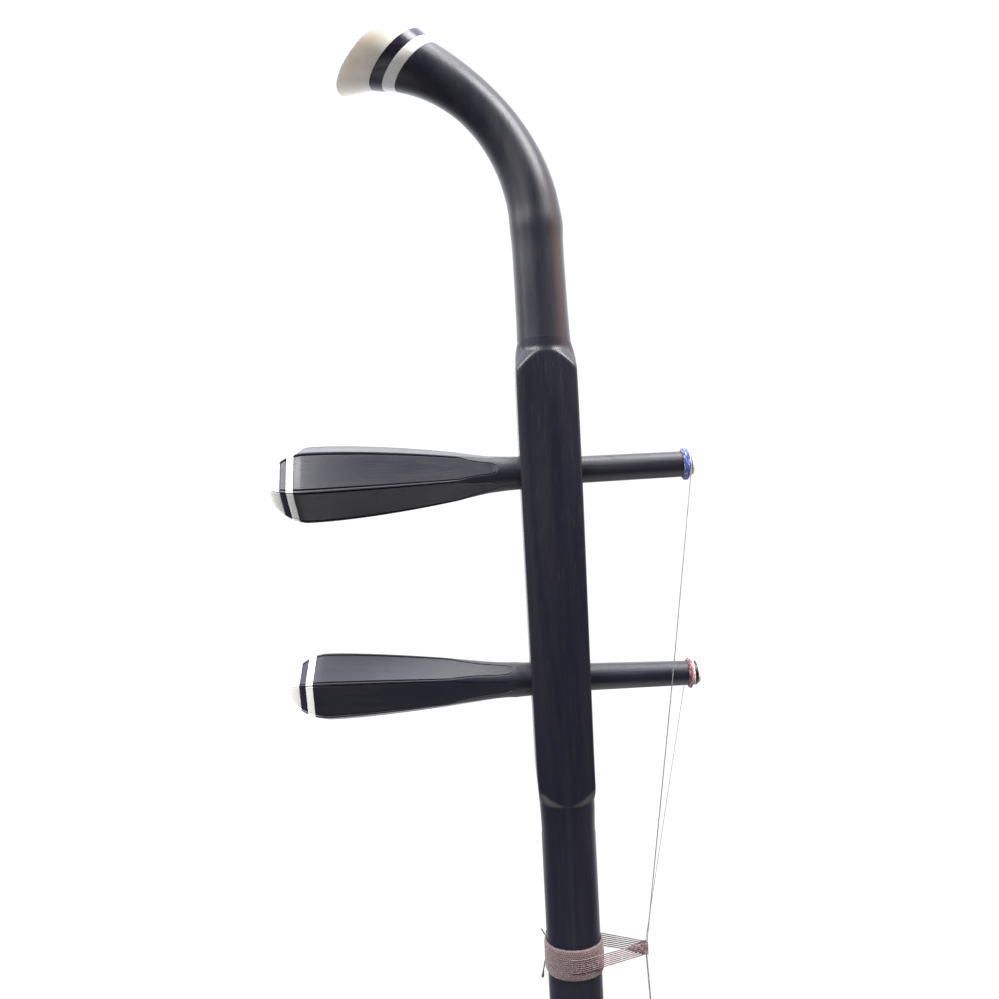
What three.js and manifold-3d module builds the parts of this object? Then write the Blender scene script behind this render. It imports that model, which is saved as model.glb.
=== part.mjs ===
// Erhu: a two-string bowed instrument, in millimetres.
// The neck's axis is the Z axis and the base's underside is Z = 0. The strings and the python skin are on the
// +X side, and the peg handles are on the -X side. The player sits on the -Y side.

import * as THREE from 'three'
import { mergeVertices } from 'three/addons/utils/BufferGeometryUtils.js'
import Module from 'manifold-3d'

const wasm = await Module()
wasm.setup()

// ---------- driving dimensions ----------

const GAP = 0.3

const NECK = { radius: 10.25, tenonRadius: 9, tenonFoot: 6, splice: 688, sides: 32 }
const FLATS = { x: -0.45, halfDepth: 10.4, footHalfWidth: 10.85, halfWidth: 11.42, foot: 514.6,
  shoulder: 683.5, cornerPower: 10 }
const TENON = { radius: 5, length: 22 }

const HEAD = { foot: NECK.splice + GAP, bendFoot: 727, bendX: -1.1, bendRadius: 69.9, bendDegrees: 66.4,
  footRadius: 10.05, radius: 9.6, waistRadius: 8.8, endRadius: 11.1, sides: 24 }
const SECTION_TURN_SHARE = 0.637 // the head's sections turn by this share of what its centreline turns
const HEAD_END_LENGTH = 7.9 // of the two rings together
const CAP = { footRadius: 13.8, rimRadius: 17.8, length: 9, domeHeight: 3.5 }
const HEAD_END_DEGREES = 156.8 // direction that the rings' centres follow, from +X
const CAP_DEGREES = 170

const PEG = { fatX: -91, blackX: -99.75, whiteX: -97.05, woodX: -94.2, taperX: -88, tongueX: -24,
  tongueRadius: 7.3, neckX: -13.6, neckSideRadius: 6.3, facetEndRadius: 5.6, exitX: 12, exitRadius: 5.06,
  thinX: 53, sides: 24 }
const TONGUE_BLEND = 24 // how sharply a facet's taper turns level into its tongue
// shift moves a handle along its peg, and SHIFT_LENGTH is the run beside the neck that takes it up. spread
// sets how fast the round taper opens out from the neck into the handle.
const UPPER_PEG = { name: 'upper', z: 639, tilt: -0.32, shift: 0, spread: 0.0065, cornerRadius: 15.06,
  taperPower: 1.62, endX: -106.2, tipX: 52.2, tipRadius: 4.78, ridgeTurn: 10, coilX: 48.8, coilWidth: 2.7,
  silk: 'blueSilk' }
const LOWER_PEG = { name: 'lower', z: 560.9, tilt: 0.6, shift: 2.85, spread: 0.003, cornerRadius: 13.5,
  taperPower: 1.4, endX: -105, tipX: 51.1, tipRadius: 4.45, ridgeTurn: -17, coilX: 47.5, coilWidth: 1.9,
  silk: 'redSilk' }
const SHIFT_LENGTH = 6
const BUTTON = { radius: 4.3, length: 1.5 }
const COIL_RADIUS = 5.9

const QIANJIN = { z: 456, bandHeight: 11.4, bandRadius: 11.7, edgeRound: 0.5, stringX: 27.3, strandHeight: 5,
  strandWidth: 0.8, strandY: 1.4, wrapHeight: 4.6, wrapX: 3.4, wrapY: 5.6, holeX: 2.2, holeY: 3.7 }
const KNOT = { x: -13.1, y: -2.5, radius: 1.3, tailRadius: 0.45, tailLength: 6, tailLean: 0.35 }

const RESONATOR = { z: 66, apothem: 44, wall: 7, front: 32.7, back: -96.7 }
const SKIN = { thickness: 0.8, skirt: 11 }
const BAND = { thickness: 1.1, frontWidth: 12, rearWidth: 9 }
const WINDOW = { thickness: 5, petalRing: 22.5, petalRadius: 7.6, starRing: 11, starRadius: 2.6,
  outerRing: 31, outerRadius: 2.3, centreRadius: 4.2 }

const BASE = { back: -86, front: 40, halfWidth: 38, height: 18.3, corner: 12, edgeRound: 2, seatBack: -80,
  seatFront: 14, seatHalfWidth: 26, seatTop: 21.7, seatCorner: 6, socketFloor: 5.7, notchBack: 31,
  notchHalfWidth: 4 }
const HITCH = { x: 35.5, z: 9, radius: 1.5, halfLength: 9 }
const SCREW = { x: -60, y: 16, headRadius: 4, headFoot: 0.8, headEdge: 0.8, headTop: 3.6, shankRadius: 1.8,
  tip: 27, pointLength: 3 }

const BRIDGE = { height: 9.3, footHalfWidth: 13, topHalfWidth: 5, thickness: 6, archHalfWidth: 6,
  archHeight: 4.2, footHeight: 1.6, waistHeight: 2.4 }
const DAMPER = { z: 44, height: 9, halfWidth: 10, depth: 6.4 }

const INNER_STRING = { radius: 0.3, y: -1, hitchY: -1.6 }
const OUTER_STRING = { radius: 0.15, y: 1, hitchY: 1.6 }
const STRING_SPREAD = { qianjin: 1.2, bridge: 2.5 }

// ---------- materials ----------

function finish (color, roughness, metalness = 0) {
  return new THREE.MeshStandardMaterial({ color, roughness, metalness })
}

const MATERIALS = {
  blackWood: finish(0x24252c, 0.42),
  ivory: finish(0xf1ead6, 0.35),
  whiteRing: finish(0xf4f2ea, 0.3),
  blackRing: finish(0x1d1a26, 0.25),
  blueSilk: finish(0x4459a8, 0.7),
  redSilk: finish(0x9c3c48, 0.7),
  thread: finish(0x7a5f60, 0.8),
  steel: finish(0xb4b6ba, 0.3, 1),
  skin: finish(0xa88b5e, 0.5),
  paleWood: finish(0xc9a26b, 0.55),
  felt: finish(0x6e2027, 0.95),
  brass: finish(0xb89a5a, 0.35, 1)
}

// ---------- shared shapes ----------

const degrees = THREE.MathUtils.degToRad
const smooth = (x, low, high) => THREE.MathUtils.smoothstep(x, low, high)
const steps = (from, to, count) => Array.from({ length: count + 1 }, (_, i) => from + (to - from) * i / count)

// The smaller of several lengths, rounded off where they meet. A higher power gives a sharper meeting line.
function softMin (power, ...lengths) {
  return lengths.reduce((sum, length) => sum + length ** -power, 0) ** (-1 / power)
}

// A closed column through a list of stations. place(station, angle) gives the section's centre, its two
// directions e1 and e2 (with e1 x e2 along the column) and its radius at that angle.
function column (sides, stations, place) {
  const last = stations.length - 1
  const geometry = new THREE.CylinderGeometry(1, 1, 1, sides, last)
  const position = geometry.attributes.position
  for (let i = 0; i < position.count; i++) {
    const reach = Math.hypot(position.getX(i), position.getZ(i))
    const angle = Math.atan2(position.getX(i), position.getZ(i))
    const station = stations[Math.round((position.getY(i) + 0.5) * last)]
    const { centre, e1, e2, radius } = place(station, angle)
    const point = centre.clone()
      .addScaledVector(e1, reach * radius * Math.cos(angle))
      .addScaledVector(e2, reach * radius * Math.sin(angle))
    position.setXYZ(i, point.x, point.y, point.z)
  }
  geometry.computeVertexNormals()
  return geometry
}

function toSolid (geometry) {
  const bare = geometry.clone()
  bare.deleteAttribute('normal')
  bare.deleteAttribute('uv')
  const merged = mergeVertices(bare, 1e-4)
  const corners = merged.index.array
  const triangles = []
  for (let i = 0; i < corners.length; i += 3) {
    const [a, b, c] = [corners[i], corners[i + 1], corners[i + 2]]
    if (a !== b && b !== c && c !== a) triangles.push(a, b, c)
  }
  return new wasm.Manifold(new wasm.Mesh({
    numProp: 3, vertProperties: merged.attributes.position.array, triVerts: Uint32Array.from(triangles)
  }))
}

function toGeometry (solid) {
  const { vertProperties, triVerts } = solid.getMesh()
  const geometry = new THREE.BufferGeometry()
  geometry.setAttribute('position', new THREE.BufferAttribute(vertProperties, 3))
  geometry.setIndex(new THREE.BufferAttribute(triVerts, 1))
  geometry.computeVertexNormals()
  return geometry
}

function cut (body, ...tools) {
  return toGeometry(tools.reduce((rest, tool) => rest.subtract(toSolid(tool)), toSolid(body)))
}

function join (body, ...others) {
  return toGeometry(others.reduce((sum, other) => sum.add(toSolid(other)), toSolid(body)))
}

// Round bars along each axis, from one coordinate to another.
function barZ (radius, x, y, low, high, sides = 24) {
  return new THREE.CylinderGeometry(radius, radius, high - low, sides)
    .rotateX(Math.PI / 2).translate(x, y, (low + high) / 2)
}

function barY (radius, x, z, low, high, sides = 16) {
  return new THREE.CylinderGeometry(radius, radius, high - low, sides).translate(x, (low + high) / 2, z)
}

function block (x0, x1, y0, y1, z0, z1) {
  return new THREE.BoxGeometry(x1 - x0, y1 - y0, z1 - z0)
    .translate((x0 + x1) / 2, (y0 + y1) / 2, (z0 + z1) / 2)
}

// A flat shape drawn in [across, up] is given a thickness along +X: across runs along +Y and up along +Z.
function plateAlongX (shape, x, thickness, curveSegments = 10) {
  const geometry = new THREE.ExtrudeGeometry(shape, { depth: thickness, bevelEnabled: false, curveSegments })
  const standing = new THREE.Matrix4().set(0, 0, 1, x, 1, 0, 0, 0, 0, 1, 0, 0, 0, 0, 0, 1)
  return geometry.applyMatrix4(standing)
}

function polygon (points) {
  return new THREE.Shape(points.map(([a, b]) => new THREE.Vector2(a, b)))
}

const group = new THREE.Group()

function add (name, geometry, material, parent = group) {
  const part = new THREE.Mesh(geometry, MATERIALS[material])
  part.name = name
  parent.add(part)
  return part
}

// ---------- neck ----------

// The flat-sided section stands a little nearer the peg handles than the round neck does.
const neckCentre = z => FLATS.x * smooth(z, 510, 532)

// Half-width of the neck across its flat-sided section: it swells out of the round neck, then grows slowly,
// and draws in again at the shoulder below the head.
function neckHalfWidth (z) {
  const swell = (FLATS.footHalfWidth - NECK.radius) * smooth(z, 503, 532)
  const slow = (FLATS.halfWidth - FLATS.footHalfWidth) * THREE.MathUtils.clamp((z - 532) / 98, 0, 1)
  const drawIn = (FLATS.halfWidth - HEAD.footRadius) * Math.exp(-Math.max(NECK.splice - z, 0) / 5)
  return Math.min(NECK.radius + swell + slow, FLATS.halfWidth - drawIn)
}

// Radius of the turned shape that the flats run out on, at their foot and at their top. At the top it is
// steep in front and behind, and drawn out at the sides.
function neckTurnedRadius (z, angle) {
  const above = Math.max(z - FLATS.foot, 0)
  const swell = 0.45 * smooth(z, 503, 516) * Math.cos(angle) ** 2
  const foot = NECK.radius + swell + 0.66 * above ** 2 / (above + 1)
  const below = FLATS.shoulder - z
  const hollow = HEAD.footRadius + 0.12 * Math.max(below + 1.7, 0) ** 2
  const steep = below > 0 ? FLATS.halfDepth + 0.66 * below : hollow
  const drawnOut = HEAD.footRadius + 0.14 * Math.max(NECK.splice - z, 0) ** 1.55
  return Math.min(foot, THREE.MathUtils.lerp(drawnOut, steep, smooth(Math.sin(angle) ** 2, 0, 0.35)))
}

function neckRadius (z, angle) {
  if (z < 503) return NECK.radius
  const across = neckHalfWidth(z) / Math.max(Math.abs(Math.cos(angle)), 1e-6)
  const deep = FLATS.halfDepth / Math.max(Math.abs(Math.sin(angle)), 1e-6)
  const flatSided = softMin(FLATS.cornerPower, across, deep)
  return softMin(40, flatSided, neckTurnedRadius(z, angle))
}

function makeNeck () {
  const stations = [
    RESONATOR.z + RESONATOR.apothem + GAP, 300, 503, 508, 512, 514.6, 515.2, 516, 517.5, 519, 520.5,
    522, 524, 532, 560, 600, 640, 664, 674, 677, 679, 680.5, 682, 683.5, 685, 686.5, NECK.splice
  ]
  const shaft = column(NECK.sides, stations, (z, angle) => ({
    centre: new THREE.Vector3(neckCentre(z), 0, z),
    e1: new THREE.Vector3(1, 0, 0),
    e2: new THREE.Vector3(0, 1, 0),
    radius: neckRadius(z, angle)
  }))
  const foot = barZ(NECK.tenonRadius, 0, 0, NECK.tenonFoot, stations[0] + 2, 32)
  const mortiseFloor = NECK.splice - TENON.length - GAP
  const mortise = barZ(TENON.radius + GAP, FLATS.x, 0, mortiseFloor, NECK.splice + 5, 16)
  const bores = [UPPER_PEG, LOWER_PEG].map(makePegBore)
  return cut(join(shaft, foot), mortise, ...bores)
}

// ---------- curved head, rings and cap ----------

// The head's centreline: straight, then a circular bend back over the pegs.
function headStation (s) {
  const straight = HEAD.bendFoot - HEAD.foot
  const turn = Math.max(s - straight, 0) / HEAD.bendRadius
  const share = Math.min(s / straight, 1)
  const x = THREE.MathUtils.lerp(FLATS.x, HEAD.bendX, share) - HEAD.bendRadius * (1 - Math.cos(turn))
  const z = HEAD.foot + Math.min(s, straight) + HEAD.bendRadius * Math.sin(turn)
  return { x, z, turn }
}

const headLength = HEAD.bendFoot - HEAD.foot + HEAD.bendRadius * degrees(HEAD.bendDegrees)

// The head narrows out of the shoulder, swells a little where the bend begins, thins to a waist, and flares.
function headRadius (s) {
  const foot = (HEAD.footRadius - HEAD.radius) * Math.exp(-s / 10)
  const swelling = 0.33 * Math.exp(-(((s - 42) / 5) ** 2))
  const waist = (HEAD.radius - HEAD.waistRadius) * smooth(s, 48, 84)
  const flare = (HEAD.endRadius - HEAD.waistRadius) * Math.max(s / headLength - 0.74, 0) ** 2 / 0.26 ** 2
  return HEAD.radius + foot + swelling - waist + flare
}

function section (x, z, tilt, radius) {
  return {
    centre: new THREE.Vector3(x, 0, z),
    e1: new THREE.Vector3(Math.sin(tilt), 0, -Math.cos(tilt)),
    e2: new THREE.Vector3(0, 1, 0),
    radius
  }
}

const headEnd = headStation(headLength)
const headEndTilt = Math.PI / 2 + degrees(HEAD.bendDegrees) * SECTION_TURN_SHARE

function makeHead () {
  const bend = column(HEAD.sides, steps(0, headLength, 20), s => {
    const { x, z, turn } = headStation(s)
    return section(x, z, Math.PI / 2 + turn * SECTION_TURN_SHARE, headRadius(s))
  })
  return join(bend, barZ(TENON.radius, FLATS.x, 0, NECK.splice - TENON.length, HEAD.foot + 5, 16))
}

// Beyond the wood the sections stay parallel, and their centres go on in one direction.
function endPiece (from, to, directionDegrees, radiusAt, count, startX, startZ) {
  const direction = degrees(directionDegrees)
  return column(HEAD.sides, steps(from, to, count), d => section(
    startX + d * Math.cos(direction), startZ + d * Math.sin(direction), headEndTilt, radiusAt(d)))
}

function makeHeadRing (index) {
  const width = HEAD_END_LENGTH / 2
  const radiusAt = d => THREE.MathUtils.lerp(HEAD.endRadius, CAP.footRadius, d / HEAD_END_LENGTH)
  const from = index * width + GAP
  return endPiece(from, (index + 1) * width, HEAD_END_DEGREES, radiusAt, 1, headEnd.x, headEnd.z)
}

function makeHeadCap () {
  const direction = degrees(HEAD_END_DEGREES)
  const x = headEnd.x + HEAD_END_LENGTH * Math.cos(direction)
  const z = headEnd.z + HEAD_END_LENGTH * Math.sin(direction)
  const radiusAt = d => {
    if (d <= CAP.length) return THREE.MathUtils.lerp(CAP.footRadius, CAP.rimRadius, (d / CAP.length) ** 1.25)
    return CAP.rimRadius * Math.sqrt(Math.max(1 - ((d - CAP.length) / CAP.domeHeight) ** 2, 0.02))
  }
  return endPiece(GAP, CAP.length + CAP.domeHeight, CAP_DEGREES, radiusAt, 8, x, z)
}

// ---------- pegs ----------

// Corner radius of the six-sided handle along the peg: domed at the fat end, then tapering to the neck. It
// turns level there, and the facets end in rounded tongues where the round taper runs below them.
function handleCorner (peg, x) {
  if (x < PEG.fatX) {
    const out = Math.min((PEG.fatX - x) / (PEG.fatX - peg.endX), 0.985)
    return peg.cornerRadius * Math.sqrt(1 - out ** 1.6)
  }
  const along = THREE.MathUtils.clamp((x - PEG.taperX) / (PEG.neckX - PEG.taperX), 0, 1)
  const taper = peg.cornerRadius - (peg.cornerRadius - PEG.facetEndRadius) * along ** peg.taperPower
  const level = (taper ** TONGUE_BLEND + PEG.tongueRadius ** TONGUE_BLEND) ** (1 / TONGUE_BLEND)
  return level + 0.02 * Math.max(x - PEG.tongueX, 0) ** 2
}

// The round taper that passes through the neck and carries the string, and that the six facets run out on.
function shaftRadius (peg, x) {
  const beyond = (x - PEG.exitX) / (PEG.thinX - PEG.exitX)
  if (beyond > 0) return THREE.MathUtils.lerp(PEG.exitRadius, peg.tipRadius, Math.min(beyond, 1))
  const outside = Math.max(PEG.neckX - x, 0)
  if (outside > 0) return PEG.neckSideRadius + 0.02 * outside + peg.spread * outside ** 2
  return THREE.MathUtils.mapLinear(x, PEG.neckX, PEG.exitX, PEG.neckSideRadius, PEG.exitRadius)
}

// angle is measured from one of the six ridges.
function pegRadius (peg, x, angle) {
  if (x > PEG.neckX) return shaftRadius(peg, x)
  const sixth = Math.PI / 3
  const fromRidge = (angle % sixth + sixth) % sixth
  const facet = handleCorner(peg, x) * Math.cos(sixth / 2) / Math.cos(fromRidge - sixth / 2)
  return softMin(30, facet, shaftRadius(peg, x))
}

function pegColumn (peg, stations) {
  const [cos, sin] = [Math.cos(degrees(peg.ridgeTurn)), Math.sin(degrees(peg.ridgeTurn))]
  const shifted = x => x + peg.shift * THREE.MathUtils.clamp((PEG.neckX - x) / SHIFT_LENGTH, 0, 1)
  return column(PEG.sides, stations, (x, angle) => ({
    centre: new THREE.Vector3(shifted(x), 0, 0),
    e1: new THREE.Vector3(0, cos, sin),
    e2: new THREE.Vector3(0, -sin, cos),
    radius: pegRadius(peg, x, angle)
  }))
}

function placePeg (object, peg) {
  object.position.z = peg.z
  object.rotation.y = degrees(peg.tilt)
  object.updateMatrixWorld()
  return object
}

function makePegBore (peg) {
  const bore = column(PEG.sides, [-20, PEG.neckX, PEG.exitX, 20], x => ({
    centre: new THREE.Vector3(x, 0, 0),
    e1: new THREE.Vector3(0, 1, 0),
    e2: new THREE.Vector3(0, 0, 1),
    radius: shaftRadius(peg, THREE.MathUtils.clamp(x, PEG.neckX, PEG.exitX)) + GAP
  }))
  return bore.applyMatrix4(placePeg(new THREE.Group(), peg).matrixWorld)
}

function makeCoil (peg) {
  const inner = shaftRadius(peg, peg.coilX) + GAP
  const middle = (inner + COIL_RADIUS) / 2
  const profile = new THREE.EllipseCurve(middle, 0, COIL_RADIUS - middle, peg.coilWidth / 2).getPoints(6)
  return new THREE.LatheGeometry(profile, 18).rotateZ(-Math.PI / 2)
    .translate(peg.coilX + peg.coilWidth / 2, 0, 0)
}

function makeButton (peg) {
  const foot = peg.tipX + GAP
  return column(16, steps(foot, foot + BUTTON.length, 2), x => ({
    centre: new THREE.Vector3(x, 0, 0),
    e1: new THREE.Vector3(0, 1, 0),
    e2: new THREE.Vector3(0, 0, 1),
    radius: BUTTON.radius * Math.sqrt(1 - 0.6 * ((x - foot) / BUTTON.length) ** 2)
  }))
}

function addPeg (peg) {
  const holder = placePeg(new THREE.Group(), peg)
  group.add(holder)
  const name = piece => `${peg.name}_${piece}`
  const wood = [PEG.woodX + GAP, PEG.fatX, -80, -69, -58, -50, -44, -38, -32, -28, -25, -23, -21.5, -20,
    -18, PEG.neckX, PEG.exitX, peg.tipX]
  add(name('peg'), pegColumn(peg, wood), 'blackWood', holder)
  add(name('peg_ring_white'), pegColumn(peg, [PEG.whiteX + GAP, PEG.woodX]), 'whiteRing', holder)
  add(name('peg_ring_black'), pegColumn(peg, [PEG.blackX + GAP, PEG.whiteX]), 'blackRing', holder)
  add(name('peg_cap'), pegColumn(peg, steps(peg.endX, PEG.blackX, 4)), 'ivory', holder)
  add(name('peg_button'), makeButton(peg), 'ivory', holder)
  add(name('coil'), makeCoil(peg), peg.silk, holder)
}

// ---------- qianjin: the thread nut ----------

function makeBand () {
  const { z, bandHeight, bandRadius: outer, edgeRound } = QIANJIN
  const [low, high] = [z - bandHeight / 2, z + bandHeight / 2]
  const inner = NECK.radius + GAP
  const outline = [[inner, low], [outer - edgeRound, low], [outer, low + edgeRound],
    [outer, high - edgeRound], [outer - edgeRound, high], [inner, high], [inner, low]]
  return new THREE.LatheGeometry(outline.map(([r, h]) => new THREE.Vector2(r, h)), 24).rotateX(Math.PI / 2)
}

// side is -1 for the strands nearer the player and +1 for the ones behind.
function makeStrands (side) {
  const half = QIANJIN.strandWidth / 2
  const end = new THREE.Vector2(QIANJIN.stringX - QIANJIN.wrapX / 2 - GAP - half, side * QIANJIN.strandY)
  const reach = QIANJIN.bandRadius + GAP + half
  const tangent = Math.atan2(end.y, end.x) + side * Math.acos(reach / end.length())
  const start = new THREE.Vector2(reach * Math.cos(tangent), reach * Math.sin(tangent))
  const across = new THREE.Vector2(start.y - end.y, end.x - start.x).setLength(half)
  const shape = new THREE.Shape([start.clone().add(across), start.clone().sub(across),
    end.clone().sub(across), end.clone().add(across)])
  return new THREE.ExtrudeGeometry(shape, { depth: QIANJIN.strandHeight, bevelEnabled: false })
    .translate(0, 0, QIANJIN.z - QIANJIN.strandHeight / 2)
}

function makeWrap () {
  const { stringX: x, wrapX, wrapY, holeX, holeY, wrapHeight, z } = QIANJIN
  const upright = (width, depth, height) => new THREE.BoxGeometry(width, depth, height).translate(x, 0, z)
  return cut(upright(wrapX, wrapY, wrapHeight), upright(holeX, holeY, 2 * wrapHeight))
}

function makeKnot () {
  const { x, y, radius, tailRadius, tailLength, tailLean } = KNOT
  const knot = new THREE.SphereGeometry(radius, 8, 6).translate(x, y, QIANJIN.z)
  const tails = [-1, 1].map(up => new THREE.CylinderGeometry(tailRadius, tailRadius, tailLength, 6)
    .translate(0, tailLength / 2, 0).rotateX(up * Math.PI / 2).rotateY(-up * tailLean)
    .translate(x, y, QIANJIN.z))
  return join(knot, ...tails)
}

// ---------- resonator ----------

const hexCorner = apothem => apothem / Math.cos(Math.PI / 6)

// Boards are numbered round from the top; each one is a mitred sixth of the hexagonal tube.
const BOARD_NAMES = ['board_top', 'board_upper_far', 'board_lower_far', 'board_bottom', 'board_lower_near',
  'board_upper_near']

function makeBoard (index) {
  const { apothem, wall, front, back, z } = RESONATOR
  const outerHalf = apothem * Math.tan(Math.PI / 6) - GAP / 2
  const innerHalf = (apothem - wall) * Math.tan(Math.PI / 6) - GAP / 2
  const outline = polygon([[-outerHalf, apothem], [-innerHalf, apothem - wall], [innerHalf, apothem - wall],
    [outerHalf, apothem]])
  return plateAlongX(outline, back, front - back).rotateX(-index * Math.PI / 3).translate(0, 0, z)
}

function makeTopBoard () {
  return cut(makeBoard(0), barZ(NECK.tenonRadius + GAP, 0, 0, RESONATOR.z, RESONATOR.z + 60, 32))
}

function makeBottomBoard () {
  const pilots = [-1, 1].map(side =>
    barZ(SCREW.shankRadius + GAP, SCREW.x, side * SCREW.y, 10, SCREW.tip + GAP, 12))
  return cut(makeBoard(3), barZ(NECK.tenonRadius + GAP, 0, 0, 5, RESONATOR.z, 32), ...pilots)
}

// A six-sided ring or cup round the tube, from a closed or axis-to-axis outline of [apothem, x].
function hexTurned (outline) {
  return new THREE.LatheGeometry(outline.map(([a, x]) => new THREE.Vector2(hexCorner(a), x)), 6)
    .rotateZ(-Math.PI / 2).rotateX(Math.PI / 2).translate(0, 0, RESONATOR.z)
}

function makeSkin () {
  const inner = RESONATOR.apothem + GAP
  const outer = inner + SKIN.thickness
  const face = RESONATOR.front + GAP
  const hem = RESONATOR.front - SKIN.skirt
  return hexTurned([[0, face], [inner, face], [inner, hem], [outer, hem], [outer, face + 0.2],
    [outer - 0.5, face + SKIN.thickness], [0, face + SKIN.thickness]])
}

function makeBandRing (inner, from, to) {
  const outer = inner + BAND.thickness
  return hexTurned([[inner, from], [outer, from], [outer, to], [inner, to], [inner, from]])
}

function makeWindow () {
  const apothem = RESONATOR.apothem - RESONATOR.wall - GAP
  const corner = hexCorner(apothem)
  const sixths = Array.from({ length: 6 }, (_, i) => i * Math.PI / 3)
  const shape = polygon(sixths.map(a => [corner * Math.cos(a), corner * Math.sin(a)]))
  const hole = (ring, radius, turn) => sixths.forEach(a => {
    const path = new THREE.Path()
    path.absarc(ring * Math.cos(a + turn), ring * Math.sin(a + turn), radius, 0, 2 * Math.PI, true)
    shape.holes.push(path)
  })
  hole(WINDOW.petalRing, WINDOW.petalRadius, Math.PI / 6)
  hole(WINDOW.starRing, WINDOW.starRadius, 0)
  hole(WINDOW.outerRing, WINDOW.outerRadius, 0)
  const middle = new THREE.Path()
  middle.absarc(0, 0, WINDOW.centreRadius, 0, 2 * Math.PI, true)
  shape.holes.push(middle)
  return plateAlongX(shape, RESONATOR.back + GAP, WINDOW.thickness, 4).translate(0, 0, RESONATOR.z)
}

const skinFace = RESONATOR.front + GAP + SKIN.thickness

// The bridge stands on the skin on two feet, with an arch between them, and carries the strings on its crown.
function makeBridge () {
  const { height, footHalfWidth: foot, topHalfWidth: top, footHeight, waistHeight } = BRIDGE
  const shape = new THREE.Shape()
  shape.moveTo(-foot, 0)
  shape.lineTo(-foot, footHeight)
  shape.quadraticCurveTo(-top, waistHeight, -top, height)
  shape.lineTo(top, height)
  shape.quadraticCurveTo(top, waistHeight, foot, footHeight)
  shape.lineTo(foot, 0)
  shape.lineTo(BRIDGE.archHalfWidth, 0)
  shape.absellipse(0, 0, BRIDGE.archHalfWidth, BRIDGE.archHeight, 0, Math.PI, false)
  const thick = { depth: BRIDGE.thickness, bevelEnabled: false, curveSegments: 8 }
  const geometry = new THREE.ExtrudeGeometry(shape, thick)
  const standing = new THREE.Matrix4().set(0, 1, 0, skinFace + GAP, 1, 0, 0, 0, 0, 0, -1, 0, 0, 0, 0, 1)
  return geometry.translate(0, 0, -BRIDGE.thickness / 2).applyMatrix4(standing).translate(0, 0, RESONATOR.z)
}

function makeDamper () {
  const { z, height, halfWidth, depth } = DAMPER
  const x = skinFace + GAP
  return block(x, x + depth, -halfWidth, halfWidth, z - height / 2, z + height / 2)
}

// ---------- base ----------

function roundedRectangle (x0, x1, y0, y1, radius) {
  const shape = new THREE.Shape()
  shape.absarc(x1 - radius, y1 - radius, radius, 0, Math.PI / 2)
  shape.absarc(x0 + radius, y1 - radius, radius, Math.PI / 2, Math.PI)
  shape.absarc(x0 + radius, y0 + radius, radius, Math.PI, 1.5 * Math.PI)
  shape.absarc(x1 - radius, y0 + radius, radius, 1.5 * Math.PI, 2 * Math.PI)
  return shape
}

function makeBase () {
  const { back, front, halfWidth, height, corner, edgeRound } = BASE
  const outline = roundedRectangle(back + edgeRound, front - edgeRound, -halfWidth + edgeRound,
    halfWidth - edgeRound, corner - edgeRound)
  const plate = new THREE.ExtrudeGeometry(outline, { depth: height - 2 * edgeRound, bevelThickness: edgeRound,
    bevelSize: edgeRound, bevelSegments: 1, curveSegments: 4 }).translate(0, 0, edgeRound)
  const seatOutline = roundedRectangle(BASE.seatBack, BASE.seatFront, -BASE.seatHalfWidth, BASE.seatHalfWidth,
    BASE.seatCorner)
  const seat = new THREE.ExtrudeGeometry(seatOutline, { depth: BASE.seatTop - height / 2, bevelEnabled: false,
    curveSegments: 2 }).translate(0, 0, height / 2)
  const socket = barZ(NECK.tenonRadius + GAP, 0, 0, BASE.socketFloor, BASE.seatTop + 5, 32)
  const notch = block(BASE.notchBack, front + 5, -BASE.notchHalfWidth, BASE.notchHalfWidth, -5, height + 5)
  const pinHole = barY(HITCH.radius + GAP, HITCH.x, HITCH.z, -HITCH.halfLength - GAP, HITCH.halfLength + GAP)
  const screwHoles = [-1, 1].flatMap(side => [
    barZ(SCREW.headRadius + GAP, SCREW.x, side * SCREW.y, -5, SCREW.headTop + GAP, 16),
    barZ(SCREW.shankRadius + GAP, SCREW.x, side * SCREW.y, 0, BASE.seatTop + 5, 12)
  ])
  return cut(join(plate, seat), socket, notch, pinHole, ...screwHoles)
}

function makeScrew (side) {
  const { headRadius, headFoot, headTop, shankRadius, tip } = SCREW
  const outline = [[0, headFoot], [headRadius, headFoot], [headRadius, headFoot + SCREW.headEdge],
    [shankRadius, headTop], [shankRadius, tip - SCREW.pointLength], [0, tip]]
  return new THREE.LatheGeometry(outline.map(([r, h]) => new THREE.Vector2(r, h)), 12)
    .rotateX(Math.PI / 2).translate(SCREW.x, side * SCREW.y, 0)
}

// ---------- strings ----------

const bridgeTop = skinFace + GAP + BRIDGE.height

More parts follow.
